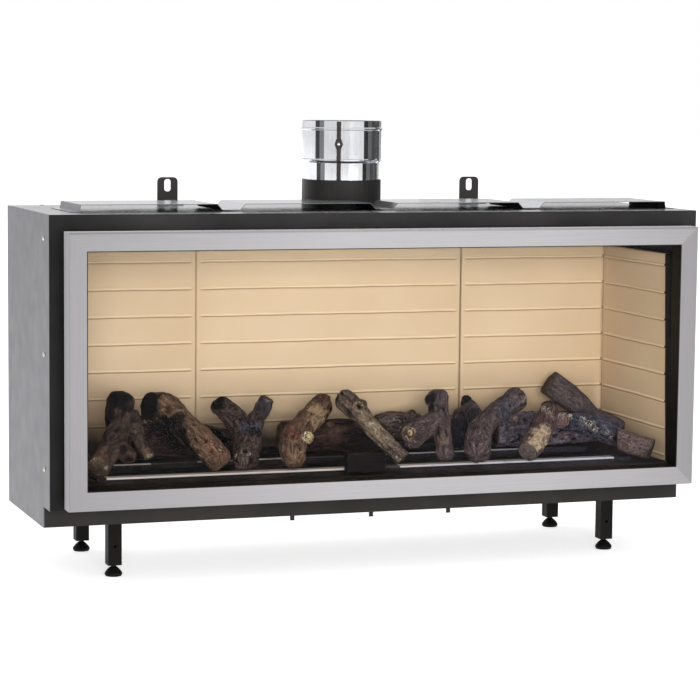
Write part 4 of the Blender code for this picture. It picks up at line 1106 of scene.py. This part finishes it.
make_log(
    "log_04",
    (
        (((-274, 169, 202, 18), (-250, 145, 180, 20), (-239, 125, 158, 20), (-239, 95, 134, 19), (-249, 62, 115, 20), (-252, 42, 96, 18)), "round", "round"),
        (((-173, 168, 203, 13), (-192, 150, 179, 15), (-212, 125, 161, 17), (-224, 95, 137, 17), (-235, 65, 114, 16), (-245, 50, 100, 15)), (0.55, 0.3, 0.78), "round"),
    ),
    ASH_DARK,
    4,
    marks=(
        ("char", -276, 149, 205, 22, 1), ("blue", -192, 140, 190, 28, 0.5), ("char", -188, 140, 190, 14, 0.5), ("pale", -178, 152, 205, 5, 0.7),
        ("blue", -222, 96, 159, 26, 0.8), ("tan", -258, 27, 104, 16, 0.25), ("pale", -268, 52, 116, 5, 1), ("pale", -247, 40, 120, 5, 1),
        ("char", -221, 88, 153, 16, 0.8),
    ),
    knots=((-239, 65, 138, 9, 5, 0.2), (-253, 43, 124, 8, 5, 0.3)),
    bark="rough",
)
make_log(
    "log_05",
    (
        (((-48, 204, 196, 19), (-78, 165, 172, 23), (-115, 130, 153, 24), (-140, 105, 137, 25), (-154, 68, 118, 23), (-159, 40, 98, 19)), "round", "round"),
        (((-128, 105, 137, 12), (-125, 62, 144, 11)), "round", (0.35, -0.94, 0.05)),
    ),
    TAN_BARK,
    5,
    marks=(
        ("tan", -84, 136, 179, 26, 1), ("tan", -95, 119, 165, 20, 0.9), ("rust", -60, 184, 207, 13, 1), ("rust", -44, 176, 192, 9, 0.7), ("char", -49, 168, 178, 11, 1),
        ("char", -60, 152, 165, 11, 1), ("char", -69, 149, 151, 9, 0.8), ("rust", -155, 84, 151, 26, 1), ("tan", -149, 46, 128, 18, 0.3),
        ("tan", -166, 24, 106, 20, 0.3), ("pale", -128, 52, 145, 11, 0.9), ("char", -153, 47, 130, 8, 0.7),
    ),
    knots=((-128, 52, 145, 8, 4, 0.9), (-149, 42, 123, 6, 3, 0.4)),
    bark="rough",
    lumps=1.1,
)
make_log(
    "log_06",
    (
        (((-133, 215, 123, 27), (-73, 215, 123, 29), (-19, 212, 125, 31), (36, 208, 120, 31), (77, 204, 111, 25)), (-1, 0, 0.05), (1, -0.1, 0)),
    ),
    SPLIT,
    6,
    marks=(
        ("char", 15, 178, 121, 36, 0.8), ("tan", -40, 192, 146, 8, 0.4), ("rust", -31, 183, 134, 22, 0.5), ("rust", -59, 185, 127, 14, 0.4),
        ("char", -12, 187, 106, 16, 0.8),
    ),
    bark="fibre",
)
make_log(
    "log_07",
    (
        (((-28, 172, 205, 19), (-8, 138, 182, 18), (4, 113, 162, 16), (24, 85, 135, 15), (42, 58, 112, 15), (53, 43, 99, 15)), "round", (0.5, -0.5, -0.7)),
        (((-4, 136, 183, 13), (-4, 117, 193, 12)), "round", (0.1, -0.9, 0.4)),
    ),
    WEATHERED,
    7,
    marks=(
        ("tan", -2, 102, 172, 16, 0.5), ("tan", 9, 83, 151, 24, 0.65), ("tan", 26, 64, 136, 22, 0.5), ("pale", 4, 91, 160, 6, 0.8), ("pale", 11, 82, 149, 6, 0.8),
        ("pale", 28, 64, 136, 5, 0.6), ("pale", 37, 39, 104, 5, 1), ("pale", 41, 34, 97, 5, 1), ("rust", -13, 129, 197, 14, 0.6), ("char", -23, 128, 178, 10, 0.7),
    ),
    knots=((-9, 106, 194, 9, 5, 0.9), (28, 64, 136, 5, 3, 0.5)),
    bark="fibre",
    lumps=0.7,
)
make_log(
    "log_08",
    (
        (((73, 262, 127, 25), (117, 262, 131, 26), (152, 262, 128, 25), (186, 262, 113, 20)), (-1, 0, 0.2), "round"),
        (((146, 262, 138, 16), (150, 262, 152, 10), (151, 262, 161, 5)), "round", "round"),
    ),
    COAL,
    8,
    marks=(
        ("pale", 107, 242, 146, 4, 0.8), ("pale", 118, 239, 142, 4, 0.8), ("pale", 127, 240, 144, 3, 0.8),
    ),
    bark="rough",
)
make_log(
    "log_09",
    (
        (((178, 193, 203, 20), (168, 160, 168, 19), (157, 115, 140, 17), (147, 73, 115, 16), (138, 46, 99, 16)), "round", "round"),
        (((155, 135, 160, 16), (122, 112, 147, 20), (72, 72, 130, 24)), "round", "round"),
        (((157, 186, 200, 11), (162, 176, 182, 15)), "round", "round"),
    ),
    GREY,
    9,
    marks=(
        ("char", 153, 170, 194, 16, 1), ("char", 151, 163, 178, 13, 1), ("char", 176, 170, 207, 9, 0.3), ("tan", 141, 68, 130, 18, 0.7), ("ring", 67, 59, 149, 13, 0.9),
        ("pale", 71, 62, 152, 6, 0.7), ("char", 58, 55, 140, 8, 0.5), ("char", 89, 57, 139, 18, 0.6), ("pale", 70, 86, 152, 5, 0.6),
    ),
    bark="fibre",
    lumps=0.8,
)
make_log(
    "log_10",
    (
        (((358, 211, 186, 23), (307, 175, 170, 20), (270, 142, 159, 19), (239, 105, 146, 20), (214, 68, 129, 24), (193, 27, 102, 25)), "round", "round"),
        (((240, 196, 194, 7), (238, 190, 178, 13), (237, 145, 156, 18), (236, 112, 141, 17)), "round", "round"),
        (((316, 170, 152, 9), (326, 150, 147, 7)), "round", (0.3, -0.9, -0.3)),
        (((235, 198, 165, 15), (221, 185, 136, 19), (213, 165, 98, 19)), "round", "round"),
    ),
    KNOTTY,
    10,
    marks=(
        ("pale", 353, 181, 185, 8, 0.4), ("tan", 331, 169, 183, 20, 0.15), ("blue", 303, 145, 166, 30, 1), ("blue", 323, 163, 180, 20, 0.7),
        ("tan", 325, 144, 150, 9, 1), ("pale", 325, 143, 148, 5, 0.7), ("char", 235, 184, 190, 22, 1), ("char", 226, 133, 166, 24, 0.9), ("char", 215, 167, 141, 34, 1),
        ("char", 206, 148, 103, 34, 1), ("rust", 191, 20, 127, 24, 0.4), ("pale", 213, 36, 135, 5, 0.6), ("pale", 219, 137, 154, 4, 0.5),
    ),
    knots=((313, 155, 174, 9, 3, 0.5),),
    bark="rough",
    lumps=1.1,
)
make_log(
    "log_11",
    (
        (((398, 158, 175, 15), (375, 122, 151, 18), (348, 88, 131, 22), (322, 62, 114, 21), (303, 42, 102, 19)), "round", (-0.677, -0.627, -0.388)),
    ),
    LIME,
    11,
    marks=(
        ("tan", 334, 52, 130, 28, 1), ("tan", 315, 36, 120, 22, 1), ("tan", 349, 63, 136, 18, 1), ("pale", 374, 111, 166, 8, 0.9), ("pale", 379, 104, 159, 6, 0.7),
        ("char", 391, 141, 183, 12, 0.8), ("pale", 373, 125, 172, 8, 0.8), ("rust", 378, 96, 150, 9, 0.7),
    ),
    knots=((357, 76, 148, 6, 2, 0.4),),
    bark="rough",
    lumps=0.8,
)
make_log(
    "log_12",
    (
        (((416, 150, 144, 16), (453, 150, 138, 19), (491, 145, 130, 21), (531, 134, 114, 22)), (-0.8, -0.55, 0.22), (0.9, -0.3, -0.3)),
    ),
    BLUE,
    12,
    marks=(
        ("pale", 470, 128, 139, 10, 1), ("pale", 482, 125, 129, 8, 1), ("pale", 458, 134, 148, 6, 1), ("pale", 503, 120, 123, 6, 0.9), ("pale", 415, 143, 158, 10, 1),
        ("pale", 432, 139, 154, 7, 0.8), ("pale", 511, 119, 111, 5, 0.7), ("blue", 475, 127, 127, 50, 0.7),
    ),
    knots=((478, 126, 133, 6, 3, 0.8),),
    bark="char",
)
make_log(
    "log_13",
    (
        (((437, 255, 207, 25), (462, 240, 186, 25), (487, 222, 166, 21), (510, 205, 145, 16), (534, 187, 135, 14), (562, 168, 122, 13)), (-0.8, 0.15, 0.58), "round"),
    ),
    UMBER,
    13,
    marks=(
        ("char", 496, 194, 153, 18, 0.4), ("blue", 550, 161, 128, 20, 0.5),
    ),
    bark="smooth",
    lumps=0.6,
)
make_log(
    "log_14",
    (
        (((507, 84, 115, 20), (536, 58, 104, 21), (558, 34, 100, 19)), (-0.93, 0.36, 0.02), (0.75, -0.55, -0.3)),
    ),
    NET,
    14,
    marks=(
        ("char", 553, 18, 90, 12, 0.6),
    ),
    bark="net",
    lumps=0.7,
)
make_log(
    "log_15",
    (
        (((327, 258, 115, 30), (399, 256, 115, 33), (481, 246, 115, 30), (538, 228, 111, 22)), (-1, 0.2, 0), (0.9, -0.4, 0)),
    ),
    BLUE_DARK,
    15,
    marks=(
        ("char", 375, 225, 121, 44, 0.45), ("rust", 460, 218, 109, 20, 0.6),
    ),
    bark="char",
)


# ---------------------------------------------------------------- studio
floor_mesh = bpy.data.meshes.new("floor")
grid = bmesh.new()
bmesh.ops.create_grid(grid, x_segments=2, y_segments=2, size=40)
grid.to_mesh(floor_mesh)
grid.free()
floor = bpy.data.objects.new("floor", floor_mesh)
SCENE.collection.objects.link(floor)
floor_look = Look("studio_floor", Roughness=0.9)
floor_look.to(Specular_IOR_Level=0.1)
pale = floor_look.ramp(floor_look.noise(0.6, 2), [(0.3, (0.93, 0.93, 0.93, 1)), (0.7, (0.95, 0.95, 0.95, 1))])
floor_look.to(Base_Color=pale, Emission_Color=pale)
floor_look.shader.inputs["Emission Strength"].default_value = 0.62
floor.data.materials.append(floor_look.mat)

# The world is plain white where it shows, and a little dimmer as a light.
world = bpy.data.worlds.new("studio")
SCENE.world = world
world.use_nodes = True
tree = world.node_tree
dim = tree.nodes["Background"]
dim.inputs["Color"].default_value = (1, 1, 1, 1)
dim.inputs["Strength"].default_value = 0.78
seen = tree.nodes.new("ShaderNodeBackground")
seen.inputs["Color"].default_value = (1, 1, 1, 1)
seen.inputs["Strength"].default_value = 1.0
path = tree.nodes.new("ShaderNodeLightPath")
choose = tree.nodes.new("ShaderNodeMixShader")
tree.links.new(path.outputs["Is Camera Ray"], choose.inputs[0])
tree.links.new(dim.outputs[0], choose.inputs[1])
tree.links.new(seen.outputs[0], choose.inputs[2])
tree.links.new(choose.outputs[0], tree.nodes["World Output"].inputs["Surface"])


def flag(name, corners, tone):
    """A dark studio flag that only shows in reflections: (x, y) of its two edges, its height, and its tone."""
    (x0, y0), (x1, y1), low, high = corners
    mesh = bpy.data.meshes.new(name)
    mesh.from_pydata([(x0, y0, low), (x1, y1, low), (x1, y1, high), (x0, y0, high)], [], [(0, 1, 2, 3)])
    obj = bpy.data.objects.new(name, mesh)
    SCENE.collection.objects.link(obj)
    look = Look(name, Roughness=0.95)
    look.to(Base_Color=look.ramp(look.noise(2, 2), [(0.3, (tone, tone, tone, 1)), (0.7, (tone * 1.15, tone * 1.15, tone * 1.15, 1))]), Specular_IOR_Level=0.0)
    mesh.materials.append(look.mat)
    obj.visible_camera = False
    obj.visible_diffuse = False
    obj.visible_shadow = False
    obj.visible_transmission = False
    return obj


def around(azimuth, distance):
    """A floor point as seen from the flue: azimuth 0 is the front, positive towards +X."""
    a = math.radians(azimuth)
    return (distance * math.sin(a), 0.0943 - distance * math.cos(a))


flag("flag_left_pale", (around(-71, 2.6), around(-88, 2.6), -0.6, 2.2), 0.2)
flag("flag_left_dark", (around(-88, 2.6), around(-103, 2.6), -0.6, 2.2), 0.045)
flag("flag_front", (around(-66, 3.0), around(0, 3.0), 0.62, 1.3), 0.70)
flag("flag_front_right", (around(0, 3.0), around(52, 3.0), 0.62, 1.3), 0.78)
flag("flag_right", (around(50, 2.6), around(66, 2.6), -0.6, 2.2), 0.02)
flag("flag_right_pale", (around(66, 2.6), around(72, 2.6), -0.6, 2.2), 0.13)
flag("flag_right_dark", (around(72, 2.6), around(86, 2.6), -0.6, 2.2), 0.06)
for k, (a0, a1) in enumerate(((86, 104), (108, 131), (136, 156))):
    flag(f"flag_strip_{k}", (around(a0, 2.6), around(a1, 2.6), -0.6, 0.80 if k == 2 else 2.2), 0.05)


def softbox(name, at, look_at, size, power):
    lamp = bpy.data.lights.new(name, "AREA")
    lamp.shape = "RECTANGLE"
    lamp.size, lamp.size_y = size
    lamp.energy = power
    obj = bpy.data.objects.new(name, lamp)
    SCENE.collection.objects.link(obj)
    obj.location = at
    obj.rotation_euler = (Vector(look_at) - Vector(at)).to_track_quat("-Z", "Y").to_euler()
    return obj


key = softbox("front_key", (-1.3, -5.2, 1.0), (0, 0, 0.35), (2.2, 1.4), 215)
key.visible_glossy = False
softbox("front_sheen", (1.7, -4.6, 1.2), (0, 0, 0.4), (2.4, 1.6), 20)

camera = bpy.data.cameras.new("camera")
camera_obj = bpy.data.objects.new("camera", camera)
SCENE.collection.objects.link(camera_obj)
SCENE.camera = camera_obj
yaw, pitch, roll = math.radians(19.104), math.radians(-6.349), 0.00992
forward = Vector((math.sin(yaw) * math.cos(pitch), math.cos(yaw) * math.cos(pitch), math.sin(pitch)))
right = forward.cross(Vector((0, 0, 1))).normalized()
up = right.cross(forward)
r2 = math.cos(roll) * right + math.sin(roll) * up
u2 = math.cos(roll) * up - math.sin(roll) * right
pose = Matrix((r2, u2, -forward)).transposed().to_4x4()
pose.translation = (-1.5405, -4.3972, 0.8756)
camera_obj.matrix_world = pose
camera.sensor_width = 36
camera.lens = 127.8
camera.shift_x, camera.shift_y = 0.0044, 0.0254
camera.clip_end = 200

SCENE.view_settings.view_transform = "Standard"
SCENE.view_settings.look = "None"
